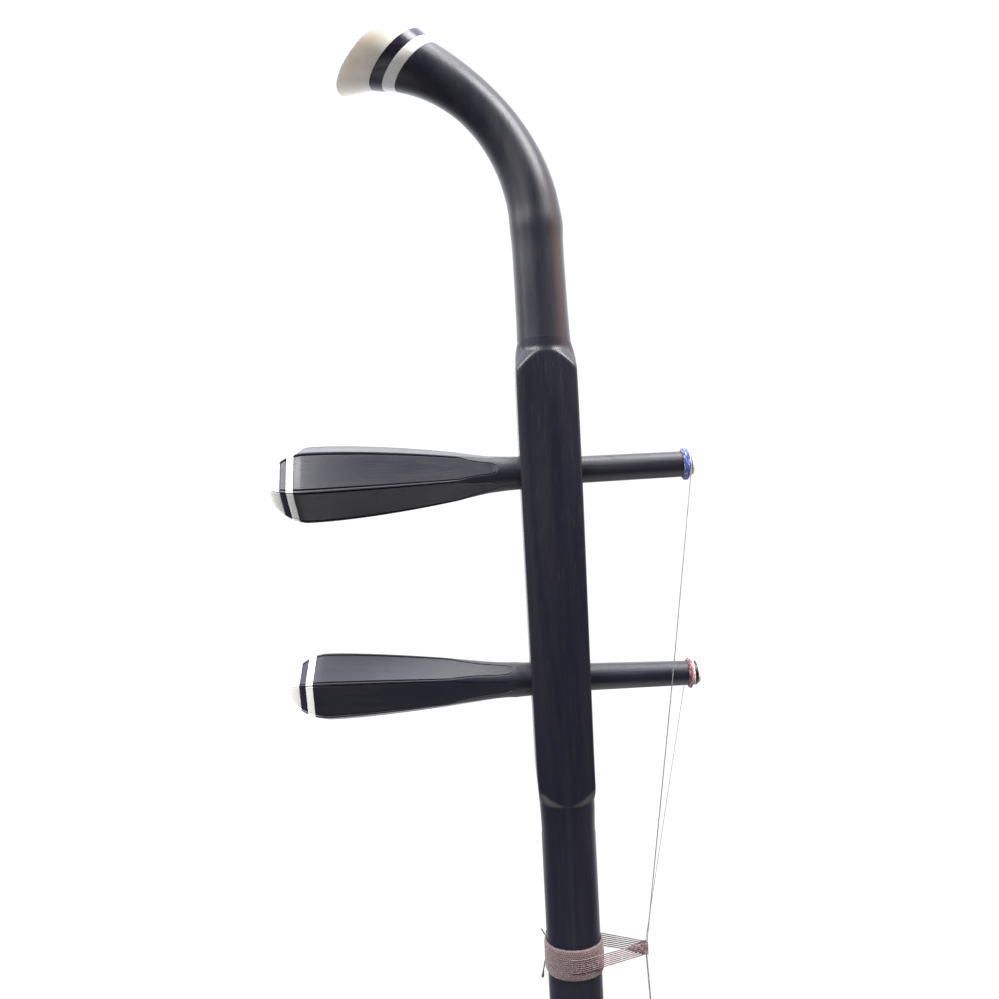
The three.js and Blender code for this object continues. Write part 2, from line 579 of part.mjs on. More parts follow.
// A string is a run of straight spans: from its peg's coil, past the qianjin, over the bridge, to the pin.
function makeString ({ radius, y, hitchY }, upperPoints) {
  const route = [
    ...upperPoints,
    [QIANJIN.stringX + 0.37, y * STRING_SPREAD.qianjin, QIANJIN.z + QIANJIN.wrapHeight / 2],
    [QIANJIN.stringX, y * STRING_SPREAD.qianjin, QIANJIN.z],
    [QIANJIN.stringX + 0.1, y * STRING_SPREAD.qianjin, QIANJIN.z - QIANJIN.wrapHeight / 2],
    [bridgeTop + radius + GAP, y * STRING_SPREAD.bridge, RESONATOR.z + BRIDGE.thickness / 2],
    [bridgeTop + radius + GAP, y * STRING_SPREAD.bridge, RESONATOR.z - BRIDGE.thickness / 2],
    [HITCH.x + HITCH.radius + radius + GAP, hitchY, HITCH.z]
  ].map(point => new THREE.Vector3(...point))
  // The round section is carried along the route, square to the mean direction at each bend.
  return column(8, route.map((_, i) => i), i => {
    const before = route[Math.max(i - 1, 0)]
    const after = route[Math.min(i + 1, route.length - 1)]
    const along = after.clone().sub(before).normalize()
    const e2 = new THREE.Vector3().crossVectors(along, new THREE.Vector3(1, 0, 0)).normalize()
    const e1 = new THREE.Vector3().crossVectors(e2, along)
    return { centre: route[i], e1, e2, radius }
  })
}

// ---------- assembly ----------

add('neck', makeNeck(), 'blackWood')
add('curved_head', makeHead(), 'blackWood')
add('head_ring_white', makeHeadRing(0), 'whiteRing')
add('head_ring_black', makeHeadRing(1), 'blackRing')
add('head_cap', makeHeadCap(), 'ivory')

addPeg(UPPER_PEG)
addPeg(LOWER_PEG)

add('qianjin_band', makeBand(), 'thread')
add('qianjin_strands_near', makeStrands(-1), 'thread')
add('qianjin_strands_far', makeStrands(1), 'thread')
add('qianjin_wrap', makeWrap(), 'thread')
add('qianjin_knot', makeKnot(), 'thread')

BOARD_NAMES.forEach((name, index) => {
  const make = { board_top: makeTopBoard, board_bottom: makeBottomBoard }[name] ?? (() => makeBoard(index))
  add(name, make(), 'blackWood')
})
const skirtApothem = RESONATOR.apothem + 2 * GAP + SKIN.thickness
add('python_skin', makeSkin(), 'skin')
add('skin_band', makeBandRing(skirtApothem, RESONATOR.front - BAND.frontWidth, RESONATOR.front), 'blackWood')
const rearBand = makeBandRing(RESONATOR.apothem + GAP, RESONATOR.back, RESONATOR.back + BAND.rearWidth)
add('rear_band', rearBand, 'blackWood')
add('sound_window', makeWindow(), 'blackWood')
add('bridge', makeBridge(), 'paleWood')
add('damper_felt', makeDamper(), 'felt')

add('base', makeBase(), 'blackWood')
add('base_screw_near', makeScrew(-1), 'brass')
add('base_screw_far', makeScrew(1), 'brass')
add('string_hitch', barY(HITCH.radius, HITCH.x, HITCH.z, -HITCH.halfLength, HITCH.halfLength), 'brass')

// The inner string starts beside its coil and passes the lower peg's shaft. The outer string starts behind
// its own coil.
const passingX = 41.3
add('inner_string', makeString(INNER_STRING, [
  [UPPER_PEG.coilX + 2.5, -(COIL_RADIUS + INNER_STRING.radius + GAP), UPPER_PEG.z - 1],
  [passingX, -(shaftRadius(LOWER_PEG, passingX) + INNER_STRING.radius + GAP), LOWER_PEG.z]
]), 'steel')
add('outer_string', makeString(OUTER_STRING, [
  [LOWER_PEG.coilX + 0.7, COIL_RADIUS + OUTER_STRING.radius + GAP, LOWER_PEG.z - 1]
]), 'steel')

export default group
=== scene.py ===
# Erhu: the visual model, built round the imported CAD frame. Lengths are in millimetres until a mesh is made.
import math

import bmesh
import bpy
import numpy as np
from mathutils import Matrix, Vector


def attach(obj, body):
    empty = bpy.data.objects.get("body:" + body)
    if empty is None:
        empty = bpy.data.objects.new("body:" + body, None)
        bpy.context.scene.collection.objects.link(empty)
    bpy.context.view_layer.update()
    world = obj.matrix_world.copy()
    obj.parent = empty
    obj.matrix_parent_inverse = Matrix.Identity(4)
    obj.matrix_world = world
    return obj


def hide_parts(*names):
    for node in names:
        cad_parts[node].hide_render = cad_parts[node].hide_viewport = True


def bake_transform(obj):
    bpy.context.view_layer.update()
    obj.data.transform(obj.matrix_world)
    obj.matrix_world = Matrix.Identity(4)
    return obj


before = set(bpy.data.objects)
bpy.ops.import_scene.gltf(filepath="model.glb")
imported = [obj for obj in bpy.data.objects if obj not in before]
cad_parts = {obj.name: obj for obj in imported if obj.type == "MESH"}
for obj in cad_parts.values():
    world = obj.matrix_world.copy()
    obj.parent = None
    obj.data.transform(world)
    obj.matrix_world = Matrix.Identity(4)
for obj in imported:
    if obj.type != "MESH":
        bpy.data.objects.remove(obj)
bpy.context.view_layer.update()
MM = 0.001
GAP = 0.3  # left between neighbouring pieces

# ---------- camera

CAMERA_AT = (-19.9, -333.8, 638.1)
CAMERA_DROP = math.radians(1.5)
CAMERA_ROLL = math.radians(2.85)


def make_camera():
    data = bpy.data.cameras.new("camera")
    data.lens = 32.0
    data.sensor_width = 36.0
    data.clip_start = 0.01
    data.clip_end = 50.0
    camera = bpy.data.objects.new("camera", data)
    bpy.context.scene.collection.objects.link(camera)
    forward = Vector((0, math.cos(CAMERA_DROP), -math.sin(CAMERA_DROP)))
    right = Vector((1, 0, 0))
    up = Vector((0, math.sin(CAMERA_DROP), math.cos(CAMERA_DROP)))
    cos, sin = math.cos(CAMERA_ROLL), math.sin(CAMERA_ROLL)
    x_axis = cos * right - sin * up
    y_axis = sin * right + cos * up
    turn = Matrix((x_axis, y_axis, -forward)).transposed().to_4x4()
    camera.matrix_world = Matrix.Translation(Vector(CAMERA_AT) * MM) @ turn
    bpy.context.scene.camera = camera


make_camera()

# ---------- small maths

X_AXIS, Y_AXIS = (1, 0, 0), (0, 1, 0)


def circle(count):
    """Angles once round."""
    return np.linspace(0, 2 * np.pi, count, endpoint=False)


def smooth(x, low, high):
    t = np.clip((x - low) / (high - low), 0, 1)
    return t * t * (3 - 2 * t)


def lerp(a, b, t):
    return a + (b - a) * t


def soft_min(power, *lengths):
    return sum(np.asarray(length, float) ** -power for length in lengths) ** (-1 / power)


def spans(*parts):
    """Stations from (start, end, count) runs; each run leaves out its end, and the last end is added."""
    runs = [np.linspace(a, b, n, endpoint=False) for a, b, n in parts]
    return np.concatenate(runs + [np.array([parts[-1][1]])])


# ---------- meshes


def link(name, mesh, material, body, nodes=(), sharp=35.0):
    mesh.update()
    mesh.shade_smooth()
    mesh.set_sharp_from_angle(angle=math.radians(sharp))
    obj = bpy.data.objects.new(name, mesh)
    bpy.context.scene.collection.objects.link(obj)
    mesh.materials.append(material)
    if body:
        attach(obj, body)
    if nodes:
        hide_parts(*nodes)
    return obj


def build_mesh(name, points, faces):
    mesh = bpy.data.meshes.new(name)
    mesh.from_pydata((np.asarray(points, float).reshape(-1, 3) * MM).tolist(), [], faces)
    return mesh


def grid_faces(rows, columns, first=0, wrap_rows=False):
    faces = []
    for i in range(rows if wrap_rows else rows - 1):
        a, b = first + i * columns, first + (i + 1) % rows * columns
        faces += [(a + j, a + (j + 1) % columns, b + (j + 1) % columns, b + j) for j in range(columns)]
    return faces


def tube_points(rings, closed=False, first=0):
    """Points and faces of a run of rings, shape (rows, columns, 3), with its ends closed by fans."""
    rings = np.asarray(rings, float)
    rows, columns = rings.shape[:2]
    faces = grid_faces(rows, columns, first, closed)
    points = rings.reshape(-1, 3)
    if not closed:
        count = len(points)
        points = np.vstack([points, rings[0].mean(0), rings[-1].mean(0)])
        start, end = first + count, first + count + 1
        last = first + (rows - 1) * columns
        faces += [(start, first + (j + 1) % columns, first + j) for j in range(columns)]
        faces += [(end, last + j, last + (j + 1) % columns) for j in range(columns)]
    return points, faces


def from_rings(name, rings, closed=False):
    return build_mesh(name, *tube_points(rings, closed))


def from_many(name, ring_sets, closed=()):
    """One mesh of several separate tubes. closed holds the places in the list of those that are loops."""
    points, faces = [], []
    for place, rings in enumerate(ring_sets):
        new_points, new_faces = tube_points(rings, place in closed, sum(len(p) for p in points))
        points.append(new_points)
        faces += new_faces
    return build_mesh(name, np.vstack(points), faces)


def from_work(work, name):
    mesh = bpy.data.meshes.new(name)
    work.to_mesh(mesh)
    work.free()
    return mesh


def round_edges(work, degrees, size, segments):
    """Rounds every edge that turns by more than so many degrees."""
    edges = [e for e in work.edges if len(e.link_faces) == 2 and e.calc_face_angle() > math.radians(degrees)]
    bmesh.ops.bevel(work, geom=edges, offset=size * MM, segments=segments, profile=0.5, affect="EDGES",
                    clamp_overlap=True)


def cut_away(obj, cutter):
    """Takes the cutter's shape out of the object, and removes the cutter."""
    cut = obj.modifiers.new("cut", "BOOLEAN")
    cut.operation, cut.solver, cut.object = "DIFFERENCE", "EXACT", cutter
    mesh = bpy.data.meshes.new_from_object(obj.evaluated_get(bpy.context.evaluated_depsgraph_get()))
    obj.modifiers.clear()
    obj.data = mesh
    bpy.data.objects.remove(cutter)


def point_values(mesh, name, values):
    """A value for each of the mesh's first points, which the materials read by name. The rest get nought."""
    padded = np.zeros(len(mesh.vertices), np.float32)
    padded[:values.size] = values.ravel()
    mesh.attributes.new(name, "FLOAT", "POINT").data.foreach_set("value", padded)


def rings_along(centres, e1, e2, radius, angles):
    """Rings about centres (n, 3), in the directions e1 and e2, which may differ ring by ring."""
    angles = np.broadcast_to(angles, (len(centres), np.shape(angles)[-1]))
    radius = np.broadcast_to(radius, angles.shape)[:, :, None]
    cos, sin = np.cos(angles)[:, :, None], np.sin(angles)[:, :, None]
    e1, e2 = np.atleast_2d(e1)[:, None, :], np.atleast_2d(e2)[:, None, :]
    return centres[:, None, :] + radius * (cos * e1 + sin * e2)


def turned(profile, axis="z", centre=(0, 0), columns=48):
    """Rings of a turned piece from (radius, height) pairs along an axis."""
    angles = circle(columns)
    radius, height = np.array(profile, float).T
    cos, sin = np.cos(angles), np.sin(angles)
    first = centre[0] + radius[:, None] * cos
    second = centre[1] + radius[:, None] * sin
    along = np.broadcast_to(height[:, None], first.shape)
    order = {"z": (first, second, along), "x": (along, first, second), "y": (second, along, first)}[axis]
    return np.stack(order, axis=-1)


def thread(path, radius, columns=8, closed=False, ply=0, pitch=1.0, depth=0.12):
    """Rings of a thread along a path. ply gives the number of strands twisted in it, seen as ridges."""
    path = np.asarray(path, float)
    if closed:
        tangent = np.roll(path, -1, 0) - np.roll(path, 1, 0)
    else:
        tangent = np.gradient(path, axis=0)
    tangent /= np.linalg.norm(tangent, axis=1, keepdims=True)
    normal = np.zeros_like(path)
    guess = np.array((0, 0, 1.0)) if abs(tangent[0][2]) < 0.9 else np.array((1.0, 0, 0))
    for i, t in enumerate(tangent):
        guess = guess - t * guess.dot(t)
        guess /= np.linalg.norm(guess)
        normal[i] = guess
    side = np.cross(tangent, normal)
    angles = circle(columns)
    size = np.broadcast_to(np.asarray(radius, float).reshape(-1, 1), (len(path), columns))
    if ply:
        steps = np.linalg.norm(np.diff(path, axis=0, prepend=path[:1]), axis=1).cumsum()
        size = size * (1 - depth + depth * np.cos(ply * angles[None, :] - 2 * np.pi * steps[:, None] / pitch))
    return rings_along(path, normal, side, size, angles)


def copy_node(name, bevel, segments=2, degrees=30.0):
    """A clean copy of a CAD node's mesh, with its flat faces joined up and its edges rounded."""
    weld_distance, flat_angle = 2e-6, math.radians(1.0)
    work = bmesh.new()
    work.from_mesh(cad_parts[name].data)
    bmesh.ops.remove_doubles(work, verts=work.verts, dist=weld_distance)
    bmesh.ops.dissolve_limit(work, angle_limit=flat_angle, verts=work.verts, edges=work.edges)
    round_edges(work, degrees, bevel, segments)
    return from_work(work, name + "_fine")


# ---------- materials


class NodeTree:
    """Adds nodes to a tree and links them up."""

    def __init__(self, tree):
        self.nodes, self.links = tree.nodes, tree.links

    def node(self, kind, inputs=None, **settings):
        node = self.nodes.new(kind)
        for key, value in settings.items():
            setattr(node, key, value)
        for key, value in (inputs or {}).items():
            self.put(node.inputs[key], value)
        return node

    def put(self, socket, value):
        """Feeds a socket from another node, or sets its own value."""
        if isinstance(value, bpy.types.NodeSocket):
            self.links.new(value, socket)
        else:
            socket.default_value = value


class Finish(NodeTree):
    """A Principled material with short helpers for its nodes."""

    def __init__(self, name, **values):
        self.material = bpy.data.materials.new(name)
        self.material.use_nodes = True
        super().__init__(self.material.node_tree)
        self.shader = self.nodes["Principled BSDF"]
        self.set(**values)

    def place(self, scale=(1, 1, 1)):
        where = self.node("ShaderNodeTexCoord").outputs["Object"]
        return self.node("ShaderNodeMapping", {"Vector": where, "Scale": scale}).outputs["Vector"]

    def noise(self, vector, scale, detail=3.0, roughness=0.55, distortion=0.0):
        inputs = {"Vector": vector, "Scale": scale, "Detail": detail, "Roughness": roughness,
                  "Distortion": distortion}
        return self.node("ShaderNodeTexNoise", inputs).outputs["Fac"]

    def span(self, value, low, high, to_low=0.0, to_high=1.0):
        inputs = {"Value": value, "From Min": low, "From Max": high, "To Min": to_low, "To Max": to_high}
        return self.node("ShaderNodeMapRange", inputs).outputs["Result"]

    def maths(self, operation, a, b):
        return self.node("ShaderNodeMath", {0: a, 1: b}, operation=operation).outputs[0]

    def mix(self, factor, a, b):
        inputs = {"Factor": factor, "A": a, "B": b}
        return self.node("ShaderNodeMix", inputs, data_type="RGBA").outputs["Result"]

    def bump(self, height, distance, strength=1.0, normal=None):
        inputs = {"Height": height, "Distance": distance * MM, "Strength": strength}
        if normal:
            inputs["Normal"] = normal
        return self.node("ShaderNodeBump", inputs).outputs["Normal"]

    def attribute(self, name):
        return self.node("ShaderNodeAttribute", attribute_name=name).outputs["Fac"]

    def set(self, **values):
        for socket, value in values.items():
            self.put(self.shader.inputs[socket.replace("_", " ")], value)
        return self.material


def rgb(r, g, b):
    return (r, g, b, 1.0)


def along_grain(axis, across, along):
    return {"x": (along, across, across), "y": (across, along, across), "z": (across, across, along)}[axis]


def black_wood(name, axis):
    """Dense black wood with a hand-rubbed finish: faint streaks, fine long pores and lighter worn edges."""
    f = Finish(name, Coat_Weight=0.25, Coat_Roughness=0.3, Coat_IOR=1.45, IOR=1.5)
    streaks = f.noise(f.place(along_grain(axis, 1, 0.05)), 190, 4, 0.6, 0.4)
    pores = f.noise(f.place(along_grain(axis, 1, 0.06)), 1700, 2, 0.5)
    cloud = f.noise(f.place(), 28, 3)
    patch = f.noise(f.place(along_grain(axis, 1, 0.3)), 45, 4, 0.6, 0.8)
    colour = f.mix(f.span(streaks, 0.42, 0.75), rgb(0.0052, 0.0058, 0.0155), rgb(0.0135, 0.0115, 0.0185))
    pits = f.span(pores, 0.37, 0.3)
    colour = f.mix(pits, colour, rgb(0.002, 0.002, 0.0025))
    point = f.node("ShaderNodeNewGeometry").outputs["Pointiness"]
    worn = f.maths("MULTIPLY", f.span(point, 0.53, 0.62), f.span(cloud, 0.35, 0.7))
    colour = f.mix(f.maths("MULTIPLY", worn, 0.6), colour, rgb(0.05, 0.048, 0.05))
    rough = f.maths("ADD", f.span(patch, 0.3, 0.7, 0.33, 0.47), f.span(streaks, 0.3, 0.7, -0.03, 0.05))
    rough = f.maths("ADD", rough, f.maths("MULTIPLY", pits, 0.25))
    fine = f.bump(pores, 0.05, 0.75)
    return f.set(Base_Color=colour, Roughness=rough, Normal=f.bump(streaks, 0.05, 0.5, fine))


def ivory(name, hollow_shade, light, shade):
    """Ivory-coloured bone: a faint layered figure, a soft glow, and painted shade in its hollows and grooves,
    warm and dark, as strong as the second argument says.
    """
    f = Finish(name, Subsurface_Weight=0.25, Subsurface_Scale=0.004, Coat_Weight=0.3, Coat_Roughness=0.2,
               IOR=1.5)
    f.shader.inputs["Subsurface Radius"].default_value = (1.0, 0.75, 0.5)
    layers = f.noise(f.place((0.25, 1, 1)), 260, 3, 0.5, 1.2)
    cloud = f.noise(f.place(), 60, 3)
    colour = f.mix(f.span(layers, 0.35, 0.7), light, shade)
    point = f.node("ShaderNodeNewGeometry").outputs["Pointiness"]
    # Painted shade: where the surface is hollow, as in the grooves beside the beads, the colour is pulled
    # towards a dark warm brown rgb(0.45, 0.34, 0.16).
    hollow = f.span(point, 0.49, 0.42)
    colour = f.mix(f.maths("MULTIPLY", hollow, hollow_shade), colour, rgb(0.45, 0.34, 0.16))
    rough = f.span(cloud, 0.3, 0.7, 0.26, 0.4)
    return f.set(Base_Color=colour, Roughness=rough, Normal=f.bump(cloud, 0.03, 0.4))


def ring_finish(name, colour, second, roughness, coat=0.4):
    """A polished inlay ring with slight clouding and hairline scratches."""
    f = Finish(name, Coat_Weight=coat, Coat_Roughness=0.12, IOR=1.5)
    cloud = f.noise(f.place(), 180, 3)
    scratch = f.noise(f.place((0.05, 1, 1)), 1800, 2)
    mixed = f.mix(f.span(cloud, 0.35, 0.7), colour, second)
    rough = f.span(scratch, 0.3, 0.7, roughness - 0.05, roughness + 0.1)
    return f.set(Base_Color=mixed, Roughness=rough, Normal=f.bump(scratch, 0.01, 0.4))


def silk(name, colour, light, dark):
    """Wound silk: on each turn, painted highlights as pale glints on some fibres, with darker fibres between
    them.
    """
    f = Finish(name, Roughness=0.5, Sheen_Weight=0.6, Sheen_Roughness=0.4, IOR=1.45)
    fibre = f.noise(f.place((1, 0.22, 0.22)), 3000, 3, 0.6)
    patch = f.noise(f.place((1, 0.4, 0.4)), 900, 2)
    mixed = f.mix(f.span(fibre, 0.36, 0.6), dark, colour)
    # Painted highlight: the pale colour is laid on the brightest fibres, in patches, as glints.
    mixed = f.mix(f.maths("MULTIPLY", f.span(fibre, 0.5, 0.64), f.span(patch, 0.4, 0.6)), mixed, light)
    return f.set(Base_Color=mixed, Normal=f.bump(fibre, 0.06, 0.8))


def cotton(name, colour, light, dark):
    """Thread of the nut, waxed and handled."""
    f = Finish(name, Roughness=0.7, Sheen_Weight=0.35, Sheen_Roughness=0.5)
    fibre = f.noise(f.place(), 3600, 2)
    patch = f.noise(f.place(), 700, 3)
    mixed = f.mix(f.span(fibre, 0.3, 0.7), dark, colour)
    mixed = f.mix(f.span(patch, 0.5, 0.75), mixed, light)
    return f.set(Base_Color=mixed, Normal=f.bump(fibre, 0.08, 0.8))


def weave_finish():
    """The woven band: a painted highlight on the crowns of the stitches, painted shade in the gaps between
    them, and a few stray light threads.
    """
    f = Finish("nut_weave", Roughness=0.65, Sheen_Weight=0.4, Sheen_Roughness=0.5)
    stitch = f.attribute("stitch")
    fibre = f.noise(f.place(), 3000, 2)
    speck = f.noise(f.place((1, 1, 1.6)), 1250, 2)
    # Painted light: following the stitch relief, the crowns are painted pale as a highlight and the gaps dark
    # as shade.
    crown = f.maths("ADD", stitch, f.span(fibre, 0.3, 0.7, -0.15, 0.15))
    colour = f.mix(f.span(crown, 0.35, 0.9), rgb(0.07, 0.042, 0.047), rgb(0.2, 0.125, 0.125))
    colour = f.mix(f.span(speck, 0.6, 0.72), colour, rgb(0.34, 0.25, 0.245))
    return f.set(Base_Color=colour, Normal=f.bump(fibre, 0.06, 0.6))


def metal(name, colour, second, roughness, axis="z"):
    f = Finish(name, Metallic=1.0)
    brushed = f.noise(f.place(along_grain(axis, 1, 0.05)), 2600, 2)
    tarnish = f.noise(f.place(), 320, 4)
    mixed = f.mix(f.span(tarnish, 0.45, 0.75), colour, second)
    rough = f.maths("ADD", f.span(brushed, 0.3, 0.7, roughness, roughness + 0.12),
                    f.span(tarnish, 0.5, 0.8, 0.0, 0.15))
    return f.set(Base_Color=mixed, Roughness=rough, Normal=f.bump(brushed, 0.01, 0.5))


def maple_finish():
    """Pale hard wood of the bridge, with growth rings and dark flecks."""
    f = Finish("maple", Coat_Weight=0.15, Coat_Roughness=0.35)
    rings = f.noise(f.place((0.5, 0.06, 1)), 900, 3, 0.5, 0.6)
    fleck = f.noise(f.place((0.6, 0.15, 1)), 2600, 2)
    colour = f.mix(f.span(rings, 0.35, 0.7), rgb(0.56, 0.36, 0.18), rgb(0.36, 0.2, 0.085))
    colour = f.mix(f.span(fleck, 0.62, 0.72), colour, rgb(0.16, 0.08, 0.035))
    rough = f.span(rings, 0.3, 0.7, 0.42, 0.55)
    return f.set(Base_Color=colour, Roughness=rough, Normal=f.bump(fleck, 0.03, 0.5))


def felt_finish():
    f = Finish("felt", Roughness=0.95, Sheen_Weight=0.8, Sheen_Roughness=0.6)
    fuzz = f.noise(f.place(), 2400, 4, 0.7)
    clumps = f.noise(f.place(), 500, 3)
    colour = f.mix(f.span(fuzz, 0.3, 0.7), rgb(0.06, 0.008, 0.012), rgb(0.2, 0.025, 0.03))
    colour = f.mix(f.span(clumps, 0.55, 0.8), colour, rgb(0.26, 0.06, 0.06))
    return f.set(Base_Color=colour, Normal=f.bump(f.maths("ADD", fuzz, clumps), 0.25, 0.9))


def skin_finish():
    """Python skin: each scale has its own tone, and the thin skin between the scales is dark."""
    f = Finish("python_skin", Coat_Weight=0.3, Coat_Roughness=0.25, IOR=1.45)
    tone, scale = f.attribute("tone"), f.attribute("scale")
    grain = f.noise(f.place(), 1400, 3)
    cloud = f.noise(f.place(), 90, 3)
    light = f.mix(f.span(cloud, 0.35, 0.7), rgb(0.5, 0.38, 0.2), rgb(0.38, 0.25, 0.115))
    dark = f.mix(f.span(cloud, 0.35, 0.7), rgb(0.035, 0.022, 0.012), rgb(0.085, 0.05, 0.022))
    colour = f.mix(f.span(tone, 0.35, 0.65), light, dark)
    colour = f.mix(f.span(grain, 0.45, 0.8), colour, rgb(0.3, 0.2, 0.09))
    colour = f.mix(f.span(scale, 0.3, 0.05), colour, rgb(0.05, 0.03, 0.015))
    rough = f.span(scale, 0.0, 0.7, 0.6, 0.33)
    return f.set(Base_Color=colour, Roughness=rough, Normal=f.bump(grain, 0.03, 0.5))


WOOD = {axis: black_wood("black_wood_" + axis, axis) for axis in "xyz"}
# The peg ends get painted shade in their hollows and grooves; the head cap gets none.
IVORY = ivory("ivory", 0.0, rgb(1.0, 0.96, 0.87), rgb(0.98, 0.91, 0.79))
PEG_IVORY = ivory("peg_ivory", 0.8, rgb(0.8, 0.8, 0.74), rgb(0.75, 0.74, 0.66))
WHITE = ring_finish("white_ring", rgb(0.97, 0.97, 0.94), rgb(0.92, 0.91, 0.85), 0.28)
BLACK = ring_finish("black_ring", rgb(0.013, 0.01, 0.026), rgb(0.022, 0.017, 0.038), 0.3, 0.1)
# The third colour of each silk is its painted highlight.
BLUE = silk("blue_silk", rgb(0.07, 0.11, 0.42), rgb(0.5, 0.6, 0.92), rgb(0.012, 0.022, 0.12))
RED = silk("red_silk", rgb(0.28, 0.03, 0.06), rgb(0.7, 0.4, 0.42), rgb(0.07, 0.006, 0.014))
CREAM = silk("cream_silk", rgb(0.85, 0.8, 0.72), rgb(0.95, 0.92, 0.86), rgb(0.6, 0.5, 0.42))
THREAD = cotton("nut_thread", rgb(0.19, 0.12, 0.125), rgb(0.36, 0.27, 0.265), rgb(0.09, 0.052, 0.06))
DARK_THREAD = cotton("dark_thread", rgb(0.12, 0.085, 0.1), rgb(0.22, 0.17, 0.19), rgb(0.05, 0.035, 0.045))
KNOT_THREAD = cotton("knot_thread", rgb(0.035, 0.03, 0.035), rgb(0.09, 0.08, 0.09), rgb(0.015, 0.012, 0.015))
WEAVE = weave_finish()
STEEL = metal("string_steel", rgb(0.78, 0.78, 0.78), rgb(0.6, 0.59, 0.57), 0.38)
BRASS = metal("brass", rgb(0.62, 0.46, 0.2), rgb(0.38, 0.26, 0.1), 0.26, "y")
MAPLE = maple_finish()
FELT = felt_finish()
SKIN = skin_finish()

# ---------- neck

SPLICE = 688.0
SHAFT_RADIUS = 10.25
TENON_FOOT, TENON_RADIUS = 6.0, 9.0
HEAD_TENON_RADIUS, HEAD_TENON_LENGTH = 5.0, 22.0
FLATS_X, FLATS_FOOT = -0.45, 514.6
FLATS_TOP, FLATS_DEPTH, FLATS_WIDTH = 683.5, 10.4, 11.42
SWELL_FOOT, SWELL_TOP = 503, 532  # where the round neck widens into the flats
FLATS_SPREAD, SPREAD_LENGTH = 0.57, 98  # the flats go on widening above the swell
END_SLOPE = 0.66  # of the rounded ends that the flats run out on, in front and behind
HEAD_ROOT = 10.05


def neck_centre(z):
    return FLATS_X * smooth(z, 510, SWELL_TOP)


def neck_half_width(z):
    spread = FLATS_SPREAD * np.clip((z - SWELL_TOP) / SPREAD_LENGTH, 0, 1)
    grown = SHAFT_RADIUS + 0.6 * smooth(z, SWELL_FOOT, SWELL_TOP) + spread
    shoulder = FLATS_WIDTH - (FLATS_WIDTH - HEAD_ROOT) * np.exp(-np.maximum(SPLICE - z, 0) / 5)
    return np.minimum(grown, shoulder)


def neck_turned_radius(z, angle):
    """The rounded ends that the flats run out on: steep in front and behind, and drawn out at the sides."""
    above = np.maximum(z - FLATS_FOOT, 0)
    swell = 0.45 * smooth(z, SWELL_FOOT, 516) * np.cos(angle) ** 2
    foot = SHAFT_RADIUS + swell + END_SLOPE * above ** 2 / (above + 1)
    below = FLATS_TOP - z
    hollow = HEAD_ROOT + 0.12 * np.maximum(below + 1.7, 0) ** 2
    front = np.where(below > 0, FLATS_DEPTH + END_SLOPE * below, hollow)
    side = HEAD_ROOT + 0.14 * np.maximum(SPLICE - z, 0) ** 1.55
    return np.minimum(foot, lerp(side, front, smooth(np.sin(angle) ** 2, 0, 0.35)))


def neck_radius(z, angle):
    across = neck_half_width(z) / np.maximum(np.abs(np.cos(angle)), 1e-6)
    deep = FLATS_DEPTH / np.maximum(np.abs(np.sin(angle)), 1e-6)
    flat = soft_min(14, across, deep)
    return np.where(z < SWELL_FOOT, SHAFT_RADIUS, soft_min(45, flat, neck_turned_radius(z, angle)))


def peg_matrix(z, tilt):
    return Matrix.Translation((0, 0, z * MM)) @ Matrix.Rotation(math.radians(tilt), 4, "Y")


def make_neck(pegs):
    foot = SOUND_Z + APOTHEM + GAP
    mortise_radius, mortise_floor = HEAD_TENON_RADIUS + 0.2, SPLICE - HEAD_TENON_LENGTH - 0.3
    body_z = spans((foot + 0.3, 500, 26), (500, 512, 12), (512, 526, 80), (526, 672, 30),
                   (672, SPLICE - 0.02, 56))
    z = np.concatenate([[TENON_FOOT, TENON_FOOT + 0.4, foot, foot], body_z, [SPLICE, SPLICE, mortise_floor]])
    angles = circle(168)
    body = neck_radius(body_z[:, None], angles)
    below = [TENON_RADIUS - 0.4, TENON_RADIUS, TENON_RADIUS, SHAFT_RADIUS - 0.3]
    rows = [np.full(len(angles), r) for r in below] + [*body, body[-1]]
    rows += [np.full(len(angles), mortise_radius)] * 2
    centres = np.stack([neck_centre(z), 0 * z, z], axis=1)
    rings = rings_along(centres, X_AXIS, Y_AXIS, np.array(rows), angles)
    neck = link("neck_wood", from_rings("neck_wood", rings), WOOD["z"], "body", ["neck"], 40)
    for peg in pegs:
        cut_away(neck, bore_cutter(peg))


# ---------- curved head, rings and cap

HEAD_FOOT, BEND_FOOT, BEND_X, BEND_RADIUS = SPLICE + 0.02, 727.0, -1.1, 69.9
BEND = math.radians(66.4)
STRAIGHT = BEND_FOOT - SPLICE - GAP
HEAD_LENGTH = STRAIGHT + BEND_RADIUS * BEND
HEAD_RADIUS, HEAD_WAIST, HEAD_END_RADIUS = 9.6, 8.8, 11.1
SECTION_SHARE = 0.637  # the sections turn by this share of what the centreline turns
END_TILT = math.pi / 2 + BEND * SECTION_SHARE
END_LENGTH, END_DEGREES = 7.9, 156.8  # of the two rings: their length, and where their centres lead from +X
CAP_FOOT, CAP_RIM, CAP_LENGTH, CAP_DOME, CAP_DEGREES = 13.8, 17.8, 9.0, 3.5, 170


def head_station(s):
    turn = np.maximum(s - STRAIGHT, 0) / BEND_RADIUS
    share = np.minimum(s / STRAIGHT, 1)
    x = lerp(FLATS_X, BEND_X, share) - BEND_RADIUS * (1 - np.cos(turn))
    z = lerp(HEAD_FOOT, BEND_FOOT, share) + BEND_RADIUS * np.sin(turn)
    return x, z, turn


